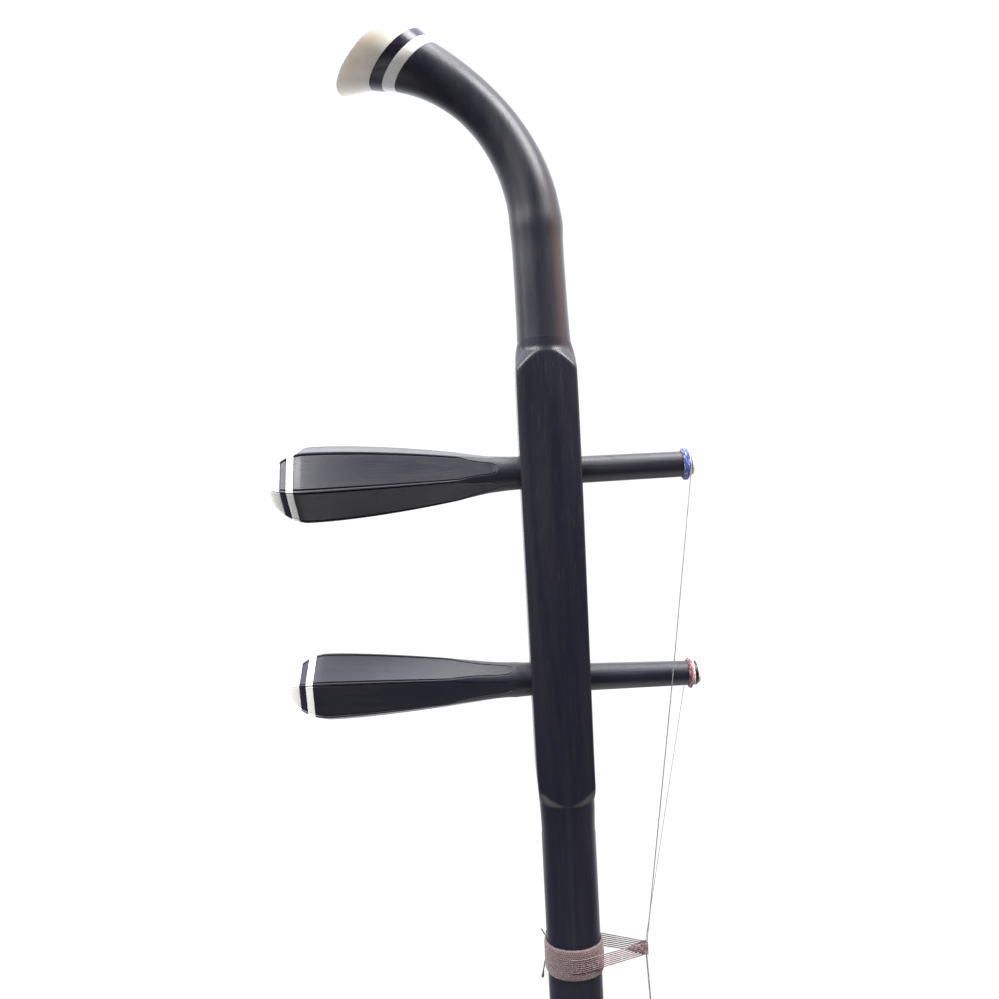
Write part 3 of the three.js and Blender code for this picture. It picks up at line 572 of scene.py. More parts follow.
def head_radius(s):
    """Narrowing out of the shoulder, a slight swelling where the bend begins, a waist, and a flare."""
    foot = (HEAD_ROOT - HEAD_RADIUS) * np.exp(-s / 10)
    swelling = 0.33 * np.exp(-((s - 42) / 5) ** 2)
    waist = (HEAD_RADIUS - HEAD_WAIST) * smooth(s, 48, 84)
    flare = np.maximum(1 - (1 - s / HEAD_LENGTH) / 0.26, 0) ** 2
    return HEAD_RADIUS + foot + swelling - waist + (HEAD_END_RADIUS - HEAD_WAIST) * flare


def tilted_rings(x, z, tilt, radius, columns=120):
    centres = np.stack([x, 0 * x, z], axis=1)
    e1 = np.stack([np.sin(tilt) + 0 * x, 0 * x, -np.cos(tilt) + 0 * x], axis=1)
    return rings_along(centres, e1, Y_AXIS, radius[:, None], circle(columns))


def make_head():
    s = np.concatenate([spans((0, HEAD_LENGTH - 0.15, 150)), [HEAD_LENGTH]])
    x, z, turn = head_station(s)
    radius = head_radius(s)
    radius[-1] -= 0.12
    low = SPLICE - HEAD_TENON_LENGTH
    x = np.concatenate([[FLATS_X] * 3, x])
    z = np.concatenate([[low, low + 0.5, HEAD_FOOT], z])
    radius = np.concatenate([HEAD_TENON_RADIUS - np.array([0.5, 0, 0]), radius])
    tilt = np.concatenate([[math.pi / 2] * 3, math.pi / 2 + turn * SECTION_SHARE])
    mesh = from_rings("head_wood_bend", tilted_rings(x, z, tilt, radius))
    link("head_wood_bend", mesh, WOOD["z"], "body", ["curved_head"])


def direction(degrees):
    return math.cos(math.radians(degrees)), math.sin(math.radians(degrees))


def make_head_end():
    """The two rings and the flared cap, with parallel sections."""
    x0, z0 = (float(v) for v in head_station(np.array([HEAD_LENGTH]))[:2])
    dx, dz = direction(END_DEGREES)
    width = END_LENGTH / 2
    for index, (colour, finish) in enumerate((("white", WHITE), ("black", BLACK))):
        d = index * width + np.array([0.05, 0.15, width - 0.1, width])
        radius = lerp(HEAD_END_RADIUS, CAP_FOOT, d / END_LENGTH) - np.array([0.1, 0, 0, 0.1])
        rings = tilted_rings(x0 + d * dx, z0 + d * dz, END_TILT, radius)
        node = "head_ring_" + colour
        link(node + "_fine", from_rings(node, rings), finish, "body", [node])
    x0, z0 = x0 + END_LENGTH * dx, z0 + END_LENGTH * dz
    dx, dz = direction(CAP_DEGREES)
    flare = spans((0.05, CAP_LENGTH - 0.4, 30))
    flare_radius = lerp(CAP_FOOT, CAP_RIM, (flare / CAP_LENGTH) ** 1.25)
    over = np.linspace(0.06, math.pi / 2 - 0.02, 26)
    d = np.concatenate([flare, CAP_LENGTH - 0.2 + (CAP_DOME + 0.2) * np.sin(over)])
    radius = np.concatenate([flare_radius, CAP_RIM * np.cos(over) ** 0.8])
    rings = tilted_rings(x0 + d * dx, z0 + d * dz, END_TILT, radius, 144)
    link("head_cap_fine", from_rings("head_cap", rings), IVORY, "body", ["head_cap"])


# ---------- pegs

FAT_X, BLACK_X, WHITE_X, WOOD_X, TAPER_X = -91.0, -99.75, -97.05, -94.2, -88.0
NECK_X, NECK_SIDE, FACET_END, EXIT_X, EXIT = -13.6, 6.3, 5.6, 12.0, 5.06
TONGUE_X, TONGUE_RADIUS, TONGUE_BLEND = -24.0, 7.3, 24
OPENING = 0.02  # how fast the handle and the round taper open out beside the neck
THINNING = 41.0  # length that the shaft's end gets thinner over
COS30 = math.cos(math.pi / 6)
SHIFT_LENGTH = 6.0  # of the run beside the neck that takes up the handle's shift
BORE_GAP = 0.15
BEAD, GROOVE_END, FAN = 1.2, 4.0, 5  # degrees from a ridge: its bead, its groove, and its close-set points
UPPER = dict(name="upper", z=639.0, tilt=-0.32, shift=0.0, spread=0.0065, corner=15.06, power=1.62,
             end_x=-106.2, tip_x=52.2, tip=4.78, ridge=10.0, body="upper_peg_body",
             coil=dict(x=48.8, width=2.7, turns=4, silk=0.34, pale=0.17, slant=0.1, slot="blue_silk"))
LOWER = dict(name="lower", z=560.9, tilt=0.6, shift=2.85, spread=0.003, corner=13.5, power=1.4,
             end_x=-105.0, tip_x=51.1, tip=4.45, ridge=-17.0, body="lower_peg_body",
             coil=dict(x=47.5, width=1.9, turns=3, silk=0.32, pale=0.3, slant=0.9, slot="red_silk"))


def handle_corner(peg, x):
    """Corner radius of the six-sided handle: domed at the fat end, tapering, and level beside the neck."""
    out = np.clip((FAT_X - x) / (FAT_X - peg["end_x"]), 0, 1)
    dome = peg["corner"] * np.sqrt(np.maximum(1 - out ** 1.6, 0))
    along = np.clip((x - TAPER_X) / (NECK_X - TAPER_X), 0, 1)
    taper = peg["corner"] - (peg["corner"] - FACET_END) * along ** peg["power"]
    level = (taper ** TONGUE_BLEND + TONGUE_RADIUS ** TONGUE_BLEND) ** (1 / TONGUE_BLEND)
    return np.where(x < FAT_X, dome, level + OPENING * np.maximum(x - TONGUE_X, 0) ** 2)


def shaft_radius(peg, x):
    outside = np.maximum(NECK_X - x, 0)
    beside = NECK_SIDE + OPENING * outside + peg["spread"] * outside ** 2
    inside = lerp(NECK_SIDE, EXIT, (x - NECK_X) / (EXIT_X - NECK_X))
    thin = lerp(EXIT, peg["tip"], np.clip((x - EXIT_X) / THINNING, 0, 1))
    return np.select([x < NECK_X, x < EXIT_X], [beside, inside], thin)


def tongue_edge(peg, x):
    """Degrees from each ridge to its facets: nought along the handle, growing where they end in tongues."""
    apothem = handle_corner(peg, x) * COS30
    ratio = np.clip(apothem / shaft_radius(peg, x), COS30, 1)
    return np.minimum(30 - np.degrees(np.arccos(ratio)), 24)


def peg_section(peg, x):
    """Angles and radii: six flat facets that run out on a round taper, with a bead along each ridge and a
    groove on both sides of it. The angles lie close together there."""
    side = np.linspace(FAN, 30, 9)
    step = np.concatenate([-side[::-1][:-1], np.linspace(-FAN, FAN, 33), side[1:-1]])
    off = np.abs(step)
    edge = tongue_edge(peg, x)[:, None]
    near, far = off + edge * np.minimum(off / BEAD, 1), lerp(FAN + edge, 30, (off - FAN) / (30 - FAN))
    moved = np.where(off < FAN, near, far)
    corner = handle_corner(peg, x)[:, None]
    in_groove = np.clip((off - BEAD) / (GROOVE_END - BEAD), 0, 1)
    bead = np.maximum(1 - (off / BEAD) ** 2, 0)
    size = np.clip(corner / peg["corner"], 0, 1)
    groove = 0.62 * np.sin(np.pi * in_groove) ** 2 * (1 - smooth(edge, 12, 24))
    facet = corner * COS30 / np.cos(np.radians(30 - moved)) - size * (groove - 0.05 * bead)
    radius = soft_min(120, np.maximum(facet, 1e-3), shaft_radius(peg, x)[:, None])
    angles = np.concatenate([np.sign(step) * moved + 60 * i for i in range(6)], axis=1)
    return np.radians(angles), np.tile(radius, 6)


def peg_rings(peg, x, radius, angles):
    ridge = math.radians(peg["ridge"])
    e1 = (0, math.cos(ridge), math.sin(ridge))
    e2 = (0, -math.sin(ridge), math.cos(ridge))
    shift = peg["shift"] * np.clip((NECK_X - x) / SHIFT_LENGTH, 0, 1)
    return rings_along(np.stack([x + shift, 0 * x, 0 * x], axis=1), e1, e2, radius, angles)


def peg_piece(peg, piece, mesh, finish, nodes):
    mesh.transform(peg_matrix(peg["z"], peg["tilt"]))
    names = [peg["name"] + "_" + node for node in nodes]
    link(peg["name"] + "_" + piece, mesh, finish, peg["body"], names)


def bore_cutter(peg):
    x = np.array([-24, NECK_X, EXIT_X, 24])
    radius = shaft_radius(peg, np.clip(x, NECK_X, EXIT_X)) + BORE_GAP
    mesh = from_rings("bore", peg_rings(dict(peg, shift=0), x, radius[:, None], circle(72)))
    mesh.transform(peg_matrix(peg["z"], peg["tilt"]))
    return link("bore", mesh, WOOD["z"], None)


def faceted(peg, piece, x, trims, finish, node):
    """A piece of the peg along x. trims says how far its first and last sections are drawn in."""
    angles, radius = peg_section(peg, x)
    first, last = trims
    radius[:len(first)] -= np.array(first).reshape(-1, 1)
    radius[len(radius) - len(last):] -= np.array(last).reshape(-1, 1)
    rings = peg_rings(peg, x, radius, angles)
    peg_piece(peg, piece, from_rings(piece, rings), finish, [node])


def make_peg(peg):
    tip_x = peg["tip_x"]
    x = np.concatenate([
        spans((WOOD_X + 0.05, WOOD_X + 0.2, 1), (WOOD_X + 0.2, FAT_X, 8), (FAT_X, -70, 14), (-70, -46, 14),
              (-46, NECK_X, 96), (NECK_X + 0.01, EXIT_X, 10), (EXIT_X, tip_x - 0.5, 14)),
        [tip_x - 0.2, tip_x - 0.05, tip_x]])
    faceted(peg, "peg_wood", x, ([0.12], [0.06, 0.2, 0.45]), WOOD["x"], "peg")

    for low, high, finish, colour in ((WHITE_X, WOOD_X, WHITE, "white"), (BLACK_X, WHITE_X, BLACK, "black")):
        x = spans((low + 0.05, low + 0.13, 1), (low + 0.13, high - 0.08, 5), (high - 0.08, high, 1))
        node = "ring_" + colour
        faceted(peg, node, x, ([0.08], [0.08]), finish, "peg_" + node)

    round_off = np.sin(np.linspace(0.05, math.pi / 2, 30))
    x = lerp(peg["end_x"], BLACK_X, 1 - np.cos(np.arcsin(round_off)))
    x = np.concatenate([np.minimum(x, BLACK_X - 0.08), [BLACK_X]])
    faceted(peg, "ivory_end", x, ([], [0.08]), PEG_IVORY, "peg_cap")

    foot, length, reach = tip_x + 0.1, 1.6, peg["tip"] - 0.55
    over = np.linspace(0.0, math.pi / 2 - 0.03, 14)
    profile = [(reach - 0.15, foot), (reach, foot + 0.2)]
    profile += [(reach * math.cos(a) ** 0.7, foot + 0.4 + (length - 0.4) * math.sin(a)) for a in over]
    button = from_rings("button", turned(profile, "x", columns=40))
    peg_piece(peg, "button", button, IVORY, ["peg_button"])


def wound(radius, x_from, x_to, turns, phase=0.0, wobble=0.0, per_turn=40):
    """A thread's path round the peg, from one end of the coil to the other."""
    t = np.linspace(0, 1, int(turns * per_turn) + 1)
    angle = 2 * np.pi * turns * t + phase
    x = lerp(x_from, x_to, t) + wobble * np.sin(angle * 0.5)
    return np.stack([x, radius * np.cos(angle), radius * np.sin(angle)], axis=1)


def make_coil(peg, finish):
    """Silk end of the string, wound on the peg in two layers, with a pale turn beside them."""
    coil = peg["coil"]
    base, start = peg["tip"] + 0.1, coil["x"]
    silk, pale, turns = coil["silk"], coil["pale"], coil["turns"]
    last = start + coil["width"] - silk
    layers = [wound(base + silk * 0.9, start + silk, last, turns, 1.0),
              wound(base + silk * 2.5, start + 1.8 * silk, last - 0.25, turns - 1, 0.3, 0.06)]
    mesh = from_many("coil", [thread(path, silk, 14, ply=3, pitch=1.7, depth=0.07) for path in layers])
    peg_piece(peg, "silk_coil", mesh, finish, ["coil"])
    edge = start + coil["width"] + pale * 0.6
    path = wound(base + pale * 1.3, edge - coil["slant"], edge + 0.3 * pale, 1.3, 2.0)
    mesh = from_rings("pale", thread(path, pale, 12, ply=2, pitch=1.4, depth=0.07))
    peg_piece(peg, "silk_coil_pale", mesh, CREAM, [])


# ---------- qianjin, the thread nut

NUT_Z, BAND_HEIGHT = 456.0, 11.4
BAND_INSIDE, BAND_FACE, BAND_CROWN, STITCH_DEPTH = 10.4, 10.65, 0.5, 0.17
BAND_STITCH_ROWS, BAND_STITCHES = 15, 84
STRING_X, STRING_Y = 27.3, 1.2
STRANDS, STRAND_RADIUS, STRAND_REACH = 7, 0.21, 11.56
WRAP_TURNS, WRAP_HEIGHT, WRAP_THREAD = 12, 4.6, 0.225


def make_band():
    """Thread wound round the neck and woven, in rows of stitches that slant back and forth."""
    angle = circle(720)
    v = np.linspace(0, 1, 150)
    row = BAND_STITCH_ROWS * v[:, None]
    slant = 2 * np.abs(np.mod(row / 2, 1) - 0.5)
    stitch = BAND_STITCHES * angle / (2 * np.pi) + slant
    ridge = np.abs(np.sin(np.pi * stitch)) ** 0.7 * (0.55 + 0.45 * np.abs(np.sin(np.pi * row)))
    edge = np.sqrt(np.clip(1 - np.abs(2 * v - 1) ** 8, 0, 1))[:, None]
    outer = BAND_FACE + (BAND_CROWN + STITCH_DEPTH * ridge) * edge
    z = NUT_Z + (v[:, None] - 0.5) * BAND_HEIGHT + 0.1 * np.sin(3 * angle)
    cos, sin = np.cos(angle), np.sin(angle)
    outside = np.stack([outer * cos, outer * sin, z], axis=-1)
    inside = np.stack([BAND_INSIDE * cos + 0 * z, BAND_INSIDE * sin + 0 * z, z], axis=-1)
    mesh = from_rings("band", np.concatenate([outside, inside[::-1][::15]]), closed=True)
    # The relief is also read by the band's finish, which paints a highlight on the crowns and shade in the
    # gaps.
    point_values(mesh, "stitch", ridge)
    link("nut_band", mesh, WEAVE, "qianjin", ["qianjin_band"], 80)


def strand_path(side, level, apex_level):
    """From the band's face, along its curve, to where the strand leaves it, then straight to the strings."""
    apex = np.array([STRING_X - 1.2, side * 1.1])
    tangent = math.atan2(apex[1], apex[0]) + side * math.acos(STRAND_REACH / np.linalg.norm(apex))
    wrap = np.linspace(tangent + side * math.radians(34), tangent, 10)
    round_part = np.stack([STRAND_REACH * np.cos(wrap), STRAND_REACH * np.sin(wrap)], axis=1)
    t = np.linspace(0, 1, 12)[1:, None]
    flat = np.vstack([round_part, lerp(round_part[-1], apex, t)])
    share = np.concatenate([np.zeros(len(round_part)), t[:, 0]])
    return np.column_stack([flat, NUT_Z + lerp(level, apex_level, share)])


def make_strands():
    shares = np.arange(STRANDS) / (STRANDS - 1) - 0.5
    kinds = (-1, "near", THREAD, 4.5, 0.3), (1, "far", DARK_THREAD, 5.0, 0.0)
    for side, node, finish, spread, lift in kinds:
        paths = [strand_path(side, lift + spread * share, 4.2 * share) for share in shares]
        mesh = from_many("nut_strands_" + node,
                         [thread(path, STRAND_RADIUS, 8, ply=2, pitch=2.6, depth=0.05) for path in paths])
        link("nut_strands_" + node, mesh, finish, "qianjin", ["qianjin_strands_" + node])


def make_wrap():
    """The strands woven together into a closed wedge that ends round both strings."""
    sets = []
    t = np.linspace(0, 2 * np.pi, 44)
    for i in range(WRAP_TURNS):
        level = (i + 0.5) / WRAP_TURNS - 0.5
        point = STRING_X - 3.0 - 5.0 * (1 - abs(2 * level)) - 0.3 * (i % 2)
        share = 0.5 + 0.5 * np.cos(t)  # from the wedge's point to its back
        x = lerp(point, STRING_X + 0.75, share)
        y = np.sign(np.sin(t)) * np.abs(np.sin(t)) ** 0.6 * lerp(0.7, 1.75, share) + 0.08 * np.cos(9 * t)
        weave = 0.12 * np.sin(9 * t + math.pi * (i % 2))
        z = NUT_Z + weave + level * WRAP_HEIGHT * (1 - 0.35 * (1 - share))
        sets.append(thread(np.stack([x, y, z], axis=1), WRAP_THREAD, 8, ply=2, pitch=2.0, depth=0.06))
    link("nut_wrap", from_many("nut_wrap", sets), THREAD, "qianjin", ["qianjin_wrap"])


def make_knot():
    """The knot behind the neck. Only the cut ends of its tails show past the band."""
    centre = np.array([-8.9, 8.3, NUT_Z - 0.5])
    t = circle(60)
    trefoil = np.stack([0.45 * np.cos(3 * t), 0.5 * np.sin(t) + 0.6 * np.sin(2 * t),
                        0.5 * np.cos(t) - 0.6 * np.cos(2 * t)], axis=1)
    sets = [thread(centre + trefoil, 0.36, 8, closed=True, ply=2, pitch=1.2)]
    u = np.linspace(0, 1, 18)
    for end, bow in (((-12.0, 6.4, 461.9), -0.2), ((-9.3, 6.6, 462.3), -1.0), ((-12.4, 6.4, 442.8), -0.2)):
        path = lerp(centre, np.array(end), u[:, None]) + np.sin(np.pi * u[:, None]) * np.array([bow, 0.9, 0])
        blob = 0.26 if end[2] < NUT_Z else 0.0  # the tail that hangs down ends in a blob
        sets.append(thread(path, 0.27 + blob * smooth(u, 0.8, 0.93), 8, ply=2, pitch=1.6))
    mesh = from_many("nut_knot", sets, closed=[0])
    link("nut_knot", mesh, KNOT_THREAD, "qianjin", ["qianjin_knot"])


# ---------- resonator

SOUND_Z, APOTHEM, FRONT = 66.0, 44.0, 32.7
SKIN_THICKNESS, SKIN_SKIRT, SKIN_RIM = 0.8, 11.0, 1.4
SKIN_FACE = FRONT + GAP + SKIN_THICKNESS
SCALE_WIDTH, SCALE_HEIGHT, SCALE_LIFT = 3.1, 4.6, 0.2
BRIDGE_HEIGHT, BRIDGE_HALF = 9.3, 3  # half of its thickness
BRIDGE_TOP = SKIN_FACE + GAP + BRIDGE_HEIGHT
BRIDGE_FOOT, BRIDGE_CROWN, BRIDGE_STRING_Y = 13, 5, 2.5


def refined(name, grain, bevel, segments=2, degrees=30.0, sharp=35.0):
    """A wooden piece of the body that keeps its CAD shape, with rounded edges."""
    mesh = copy_node(name, bevel, segments, degrees)
    link(name + "_fine", mesh, WOOD[grain], "body", [name], sharp)


def make_boards():
    for name in ("top", "upper_far", "lower_far", "bottom", "lower_near", "upper_near"):
        refined("board_" + name, "x", 0.35)
    refined("skin_band", "y", 0.3)
    refined("rear_band", "y", 0.3)
    refined("sound_window", "y", 0.5, 3, 40)


def hex_fold(angle):
    sixth = math.pi / 3
    return np.mod(angle, sixth) - sixth / 2


def scales(y, z):
    """Tone and height of staggered diamond scales at places on the unrolled skin."""
    nearest, tone = np.full(y.shape, 9.0), np.zeros(y.shape)
    for shift in (0.0, 0.5):
        u, v = y / SCALE_WIDTH - shift, z / SCALE_HEIGHT - shift
        row, column = np.round(u), np.round(v)
        distance = np.abs(u - row) ** 1.25 + np.abs(v - column) ** 1.25
        cy, cz = (row + shift) * SCALE_WIDTH, (column + shift) * SCALE_HEIGHT
        blotch = np.sin(cy * 0.16 + 1.3 * np.sin(cz * 0.11)) * np.sin(cz * 0.13 + 0.8 * np.sin(cy * 0.19))
        speckle = np.mod(np.sin(row * 12.9898 + column * 78.233 + shift * 7) * 43758.5453, 1.0)
        cell = np.clip(0.5 + 1.1 * blotch + 0.35 * (speckle - 0.5), 0, 1)
        tone = np.where(distance < nearest, cell, tone)
        nearest = np.minimum(nearest, distance)
    return tone, np.clip(1 - nearest / 0.62, 0, 1) ** 0.5


def make_skin():
    """Python skin with raised scales, stretched flat over the front and folded down over the rim."""
    angles = circle(432)
    inner, outer, rim = APOTHEM + GAP, APOTHEM + GAP + SKIN_THICKNESS, SKIN_RIM
    face = spans((0.4, outer - rim, 96))
    bend = np.linspace(0, math.pi / 2, 7)[1:]
    skirt = spans((SKIN_FACE - rim, FRONT - SKIN_SKIRT, 24))[1:]
    apothem = np.concatenate([face, outer - rim + rim * np.sin(bend), 0 * skirt + outer])
    x = np.concatenate([0 * face + SKIN_FACE, SKIN_FACE - rim + rim * np.cos(bend), skirt])
    unrolled = np.concatenate([face, outer - rim + rim * bend, outer + (SKIN_FACE - rim - skirt)])
    widen = 1 / np.cos(hex_fold(angles))
    across, up = widen * np.cos(angles), widen * np.sin(angles)
    tone, raised = scales(unrolled[:, None] * across, unrolled[:, None] * up)
    lift = SCALE_LIFT * (raised * smooth(apothem, 0, 3)[:, None] - 1)
    on_face = np.concatenate([0 * face + 1, np.cos(bend), 0 * skirt])[:, None]
    push = 1 + lift * (1 - on_face) / np.maximum(apothem[:, None] * widen, 1)
    outside = np.stack([x[:, None] + lift * on_face, apothem[:, None] * across * push,
                        SOUND_Z + apothem[:, None] * up * push], axis=-1)
    back = np.array([inner, inner, inner - 6.0, 4.0, 0.4])[:, None]
    back_x = np.array([FRONT - SKIN_SKIRT] + [FRONT + GAP] * 4)[:, None]
    inside = np.stack([back_x + 0 * angles, back * across, SOUND_Z + back * up], axis=-1)
    mesh = from_rings("python_skin", np.concatenate([outside, inside]))
    point_values(mesh, "tone", tone)
    point_values(mesh, "scale", raised)
    link("skin_fine", mesh, SKIN, "body", ["python_skin"], 50)


def bridge_outline():
    """Half of the bridge's outline, from the foot up to the crown, and half of the arch between the feet."""
    side = []
    for t in np.linspace(0, 1, 14):
        y = (1 - t) ** 2 * BRIDGE_FOOT + (2 * t * (1 - t) + t * t) * BRIDGE_CROWN
        h = (1 - t) ** 2 * 1.6 + 2 * t * (1 - t) * 2.4 + t * t * BRIDGE_HEIGHT
        side.append((y, h))
    notch = [(BRIDGE_STRING_Y + 0.42 * math.cos(a), BRIDGE_HEIGHT - 0.315 * math.sin(a))
             for a in np.linspace(0, math.pi, 7)]
    crown = [(3.4, BRIDGE_HEIGHT), *notch, (1.2, BRIDGE_HEIGHT)]
    arch = [(6 * math.cos(a), 4.2 * math.sin(a)) for a in np.linspace(0, math.pi / 2, 10)]
    return side + crown, arch


def make_bridge():
    right, arch = bridge_outline()
    left = [(-y, h) for y, h in reversed(right)]
    left_arch = [(-y, h) for y, h in arch]
    outline = [(BRIDGE_FOOT, 0)] + right + left + [(-BRIDGE_FOOT, 0)] + left_arch + arch[::-1][1:]
    work = bmesh.new()
    foot_x = SKIN_FACE + 0.15
    stretch = (BRIDGE_TOP - foot_x) / BRIDGE_HEIGHT
    low, high = ([work.verts.new(Vector((foot_x + h * stretch, y, z)) * MM) for y, h in outline]
                 for z in (SOUND_Z - BRIDGE_HALF, SOUND_Z + BRIDGE_HALF))
    work.faces.new(low)
    work.faces.new(high[::-1])
    for i in range(len(outline)):
        j = (i + 1) % len(outline)
        work.faces.new((low[j], low[i], high[i], high[j]))
    bmesh.ops.recalc_face_normals(work, faces=work.faces)
    round_edges(work, 50, 0.22, 2)
    link("bridge_fine", from_work(work, "bridge_fine"), MAPLE, "body", ["bridge"])


def rounded_pad(name, low, high, radius, cuts):
    """A block with generously rounded edges, from a subdivided cube pushed onto rounded corners."""
    work = bmesh.new()
    bmesh.ops.create_cube(work, size=2)
    bmesh.ops.subdivide_edges(work, edges=work.edges, cuts=cuts, use_grid_fill=True)
    low, high = Vector(low), Vector(high)
    middle, half = (low + high) / 2, (high - low) / 2
    for vert in work.verts:
        at = Vector([vert.co[i] * half[i] for i in range(3)])
        core = Vector([max(-half[i] + radius, min(half[i] - radius, at[i])) for i in range(3)])
        away = at - core
        if away.length > 1e-9:
            at = core + away.normalized() * radius
        vert.co = (at + middle) * MM
    return from_work(work, name)


DAMPER_Z, DAMPER_HALF_HEIGHT, DAMPER_HALF_WIDTH, DAMPER_DEPTH = 44, 4.5, 10, 6.5


def make_damper():
    """A folded strip of felt, pressed between the skin and the strings."""
    x = SKIN_FACE + 0.15
    mesh = rounded_pad("damper", (x, -DAMPER_HALF_WIDTH, DAMPER_Z - DAMPER_HALF_HEIGHT),
                       (x + DAMPER_DEPTH, DAMPER_HALF_WIDTH, DAMPER_Z + DAMPER_HALF_HEIGHT), 2.2, 22)
    co = np.zeros(len(mesh.vertices) * 3)
    mesh.vertices.foreach_get("co", co)
    co = co.reshape(-1, 3) / MM
    rough = 0.12 * np.sin(co[:, 1] * 2.9 + 1.7 * np.sin(co[:, 2] * 1.9)) * np.sin(co[:, 2] * 2.6)
    fold = 0.5 * np.exp(-((co[:, 2] - DAMPER_Z) / 0.5) ** 2) * (co[:, 0] > x + 5)
    co[:, 0] += np.where(co[:, 0] > x + 1, rough - 0.12 - fold, 0)
    mesh.vertices.foreach_set("co", (co * MM).ravel())
    damper = link("damper_fine", mesh, FELT, "body", ["damper_felt"], 80)


# ---------- base


SCREW_X, SCREW_Y, SCREW_HEAD, SCREW_SHANK, SCREW_ROOT = -60, 16, 4.0, 1.8, 1.45
THREAD_PITCH = 1.1
PIN_X, PIN_Z, PIN_RADIUS, PIN_HALF = 35.5, 9.0, 1.5, 9


def make_screws():
    for side, node in ((-1, "base_screw_near"), (1, "base_screw_far")):
        profile = [(3.6, 0.8), (3.9, 0.95), (SCREW_HEAD, 1.2), (SCREW_HEAD, 1.6), (SCREW_SHANK, 3.6)]
        for i in range(19):
            depth = 3.9 + THREAD_PITCH * i
            profile += [(SCREW_SHANK, depth), (SCREW_ROOT, depth + 0.45), (SCREW_SHANK, depth + 0.9)]
        profile += [(1.3, 25.2), (0.3, 27)]
        y = side * SCREW_Y
        mesh = from_rings("screw", turned(profile, "z", (SCREW_X, y), 40))
        screw = link(node + "_fine", mesh, BRASS, "body", [node])
        reach = SCREW_HEAD + 0.6
        slot = rounded_pad("slot", (SCREW_X - reach, y - 0.45, 0.2), (SCREW_X + reach, y + 0.45, 1.7), 0.1, 2)
        cut_away(screw, link("slot_cutter", slot, BRASS, None))


def make_hitch():
    profile = [(PIN_RADIUS - 0.3, -PIN_HALF), (PIN_RADIUS, -PIN_HALF + 0.3),
               (PIN_RADIUS, PIN_HALF - 0.3), (PIN_RADIUS - 0.3, PIN_HALF)]
    mesh = from_rings("hitch", turned(profile, "y", (PIN_Z, PIN_X), 40))
    link("string_hitch_fine", mesh, BRASS, "body", ["string_hitch"])


# ---------- strings


def stepped(points, count):
    """A path of straight runs, each cut into so many equal steps."""
    points = np.asarray(points, float)
    runs = [lerp(a, b, np.linspace(0, 1, count + 1)[1:, None]) for a, b in zip(points[:-1], points[1:])]
    return np.vstack([points[:1], *runs])


def pin_loop(radius, y, sign):
    """The string's end, three quarters round the pin."""
    reach = PIN_RADIUS + radius + 0.1
    a = np.linspace(0, -1.5 * np.pi, 26)
    beside = y + 0.02 * sign * np.arange(len(a))
    return np.stack([PIN_X + reach * np.cos(a), beside, PIN_Z + reach * np.sin(a)], axis=1)


def pin_twist(radius, start, towards):
    """The end's last turns, wound round the string itself above the pin."""
    turns, length, foot = 5, 9.0, 3.0
    t = np.linspace(0.12, 1, 60)[:, None]
    a = 2 * np.pi * turns * t
    along = (towards - start) / np.linalg.norm(towards - start)
    around = (2 * radius + 0.05) * np.hstack([np.cos(a), np.sin(a), 0 * a])
    return start + along * (foot + length * t) + around


def make_string(name, radius, y, pin_y, top):
    """Two spans that meet inside the nut."""
    sign = 1 if y > 0 else -1
    kink_top, kink_low = [STRING_X + 0.3, y, NUT_Z + 2.4], [STRING_X + 0.1, y, NUT_Z - 2.4]
    kink = [STRING_X, y, NUT_Z]
    crown, crown_y = BRIDGE_TOP + radius + 0.05, sign * BRIDGE_STRING_Y
    bridge_high, bridge_low = [crown, crown_y, SOUND_Z + BRIDGE_HALF], [crown, crown_y, SOUND_Z - BRIDGE_HALF]
    loop = pin_loop(radius, pin_y, sign)
    above = stepped(top + [kink_top, kink], 16)
    below = np.vstack([stepped([kink, kink_low], 3), stepped([kink_low, bridge_high], 24)[1:],
                       stepped([bridge_high, bridge_low], 3)[1:], stepped([bridge_low, loop[0]], 12)[1:],
                       loop[1:], pin_twist(radius, loop[0], np.array(bridge_low))])
    parts = ("_upper", above, top[0], kink_top), ("_lower", below, bridge_high, kink_low)
    for part, path, fixed, moved in parts:
        mesh = from_rings(name, thread(path, radius, 10))
        span = link(name + part, mesh, STEEL, None, [name])
        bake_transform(span)


# ---------- assembly

make_neck((UPPER, LOWER))
make_head()
make_head_end()
make_peg(UPPER)
make_peg(LOWER)
make_coil(UPPER, BLUE)
make_coil(LOWER, RED)
make_band()
make_strands()
make_wrap()
make_knot()
make_boards()
make_skin()
make_bridge()
make_damper()
refined("base", "x", 0.7, 3, 35, 40)
make_screws()
make_hitch()
make_string("inner_string", 0.2, -STRING_Y, -1.6, [[51.5, -5.9, 638.2], [41.3, -5.25, 560.9]])
make_string("outer_string", 0.1, STRING_Y, 1.6, [[48.6, 5.9, 560.0]])

# ---------- floor and light

FLOOR_RADIUS, FLOOR_CLEAR = 0.6, 0.2
WORLD_BRIGHT_SIDE = (0.05, 0.75, 0.66)
WORLD_RANGE = (-0.1, 0.85, 0.12, 2.1)


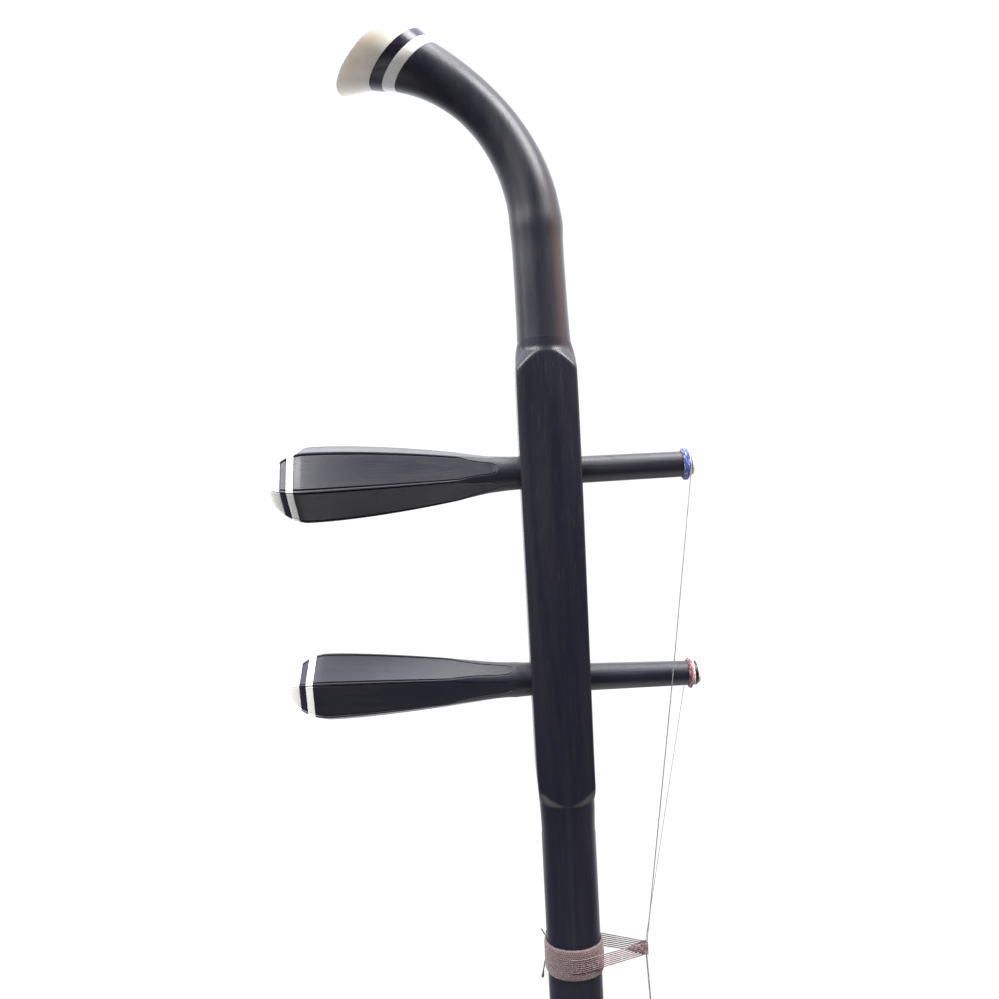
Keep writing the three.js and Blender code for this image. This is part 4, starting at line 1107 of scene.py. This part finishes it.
def make_floor():
    """A plain round floor that fades out at its edge into the white of the studio."""
    work = bmesh.new()
    bmesh.ops.create_circle(work, cap_ends=True, segments=96, radius=FLOOR_RADIUS)
    mesh = from_work(work, "floor")
    floor = bpy.data.objects.new("floor", mesh)
    floor.location.z = -0.0002
    bpy.context.scene.collection.objects.link(floor)
    f = Finish("floor", Roughness=0.8)
    where = f.place()
    cloud = f.noise(where, 3, 3)
    reach = f.node("ShaderNodeVectorMath", {0: where}, operation="LENGTH").outputs["Value"]
    shown = f.span(reach, FLOOR_CLEAR, FLOOR_RADIUS, 1, 0)
    f.set(Base_Color=f.mix(cloud, rgb(0.38, 0.38, 0.38), rgb(0.44, 0.44, 0.44)), Alpha=shown)
    mesh.materials.append(f.material)


def make_world():
    """White to the eye. It lights the object brightly from above and behind, and dimly from elsewhere."""
    world = bpy.data.worlds.new("studio")
    bpy.context.scene.world = world
    world.use_nodes = True
    w = NodeTree(world.node_tree)
    w.nodes.clear()
    looking = w.node("ShaderNodeTexCoord").outputs["Generated"]
    side = w.node("ShaderNodeVectorMath", {0: looking, 1: WORLD_BRIGHT_SIDE}, operation="DOT_PRODUCT")
    inputs = dict(zip(("From Min", "From Max", "To Min", "To Max"), WORLD_RANGE), Value=side.outputs["Value"])
    strength = w.node("ShaderNodeMapRange", inputs, interpolation_type="SMOOTHSTEP").outputs["Result"]
    lit = w.node("ShaderNodeBackground", {"Color": rgb(0.93, 0.95, 1.0), "Strength": strength})
    seen = w.node("ShaderNodeBackground", {"Color": rgb(1, 1, 1), "Strength": 1.05})
    camera_ray = w.node("ShaderNodeLightPath").outputs["Is Camera Ray"]
    mix = w.node("ShaderNodeMixShader", {0: camera_ray, 1: lit.outputs[0], 2: seen.outputs[0]})
    w.node("ShaderNodeOutputWorld", {0: mix.outputs[0]})


def soft_light(name, at, towards, size, power, colour=(1, 1, 1)):
    data = bpy.data.lights.new(name, "AREA")
    data.shape = "RECTANGLE"
    data.size, data.size_y = size
    data.energy = power
    data.color = colour
    light = bpy.data.objects.new(name, data)
    light.location = at
    light.rotation_euler = (Vector(towards) - Vector(at)).to_track_quat("-Z", "Y").to_euler()
    bpy.context.scene.collection.objects.link(light)


make_floor()
make_world()
HEART = (0, 0, 0.62)
HEAD = (-0.04, 0, 0.78)
soft_light("overhead", (0.1, 0.05, 2.0), HEART, (0.8, 0.6), 15)
soft_light("front_above", (-0.5, -1.2, 1.75), HEART, (0.8, 0.5), 3)
soft_light("left_high", (-1.5, -0.2, 1.5), HEART, (0.6, 0.8), 12)
soft_light("right_high", (0.8, -0.45, 1.7), HEAD, (0.7, 0.6), 28)
soft_light("head_fill", (-1.0, -0.9, 1.9), HEAD, (0.9, 0.9), 40)
soft_light("warm_right", (0.9, -0.05, 0.95), HEAD, (0.6, 0.6), 2.2, (1.0, 0.6, 0.4))

settings = bpy.context.scene.view_settings
settings.view_transform = "Standard"
settings.look = "None"
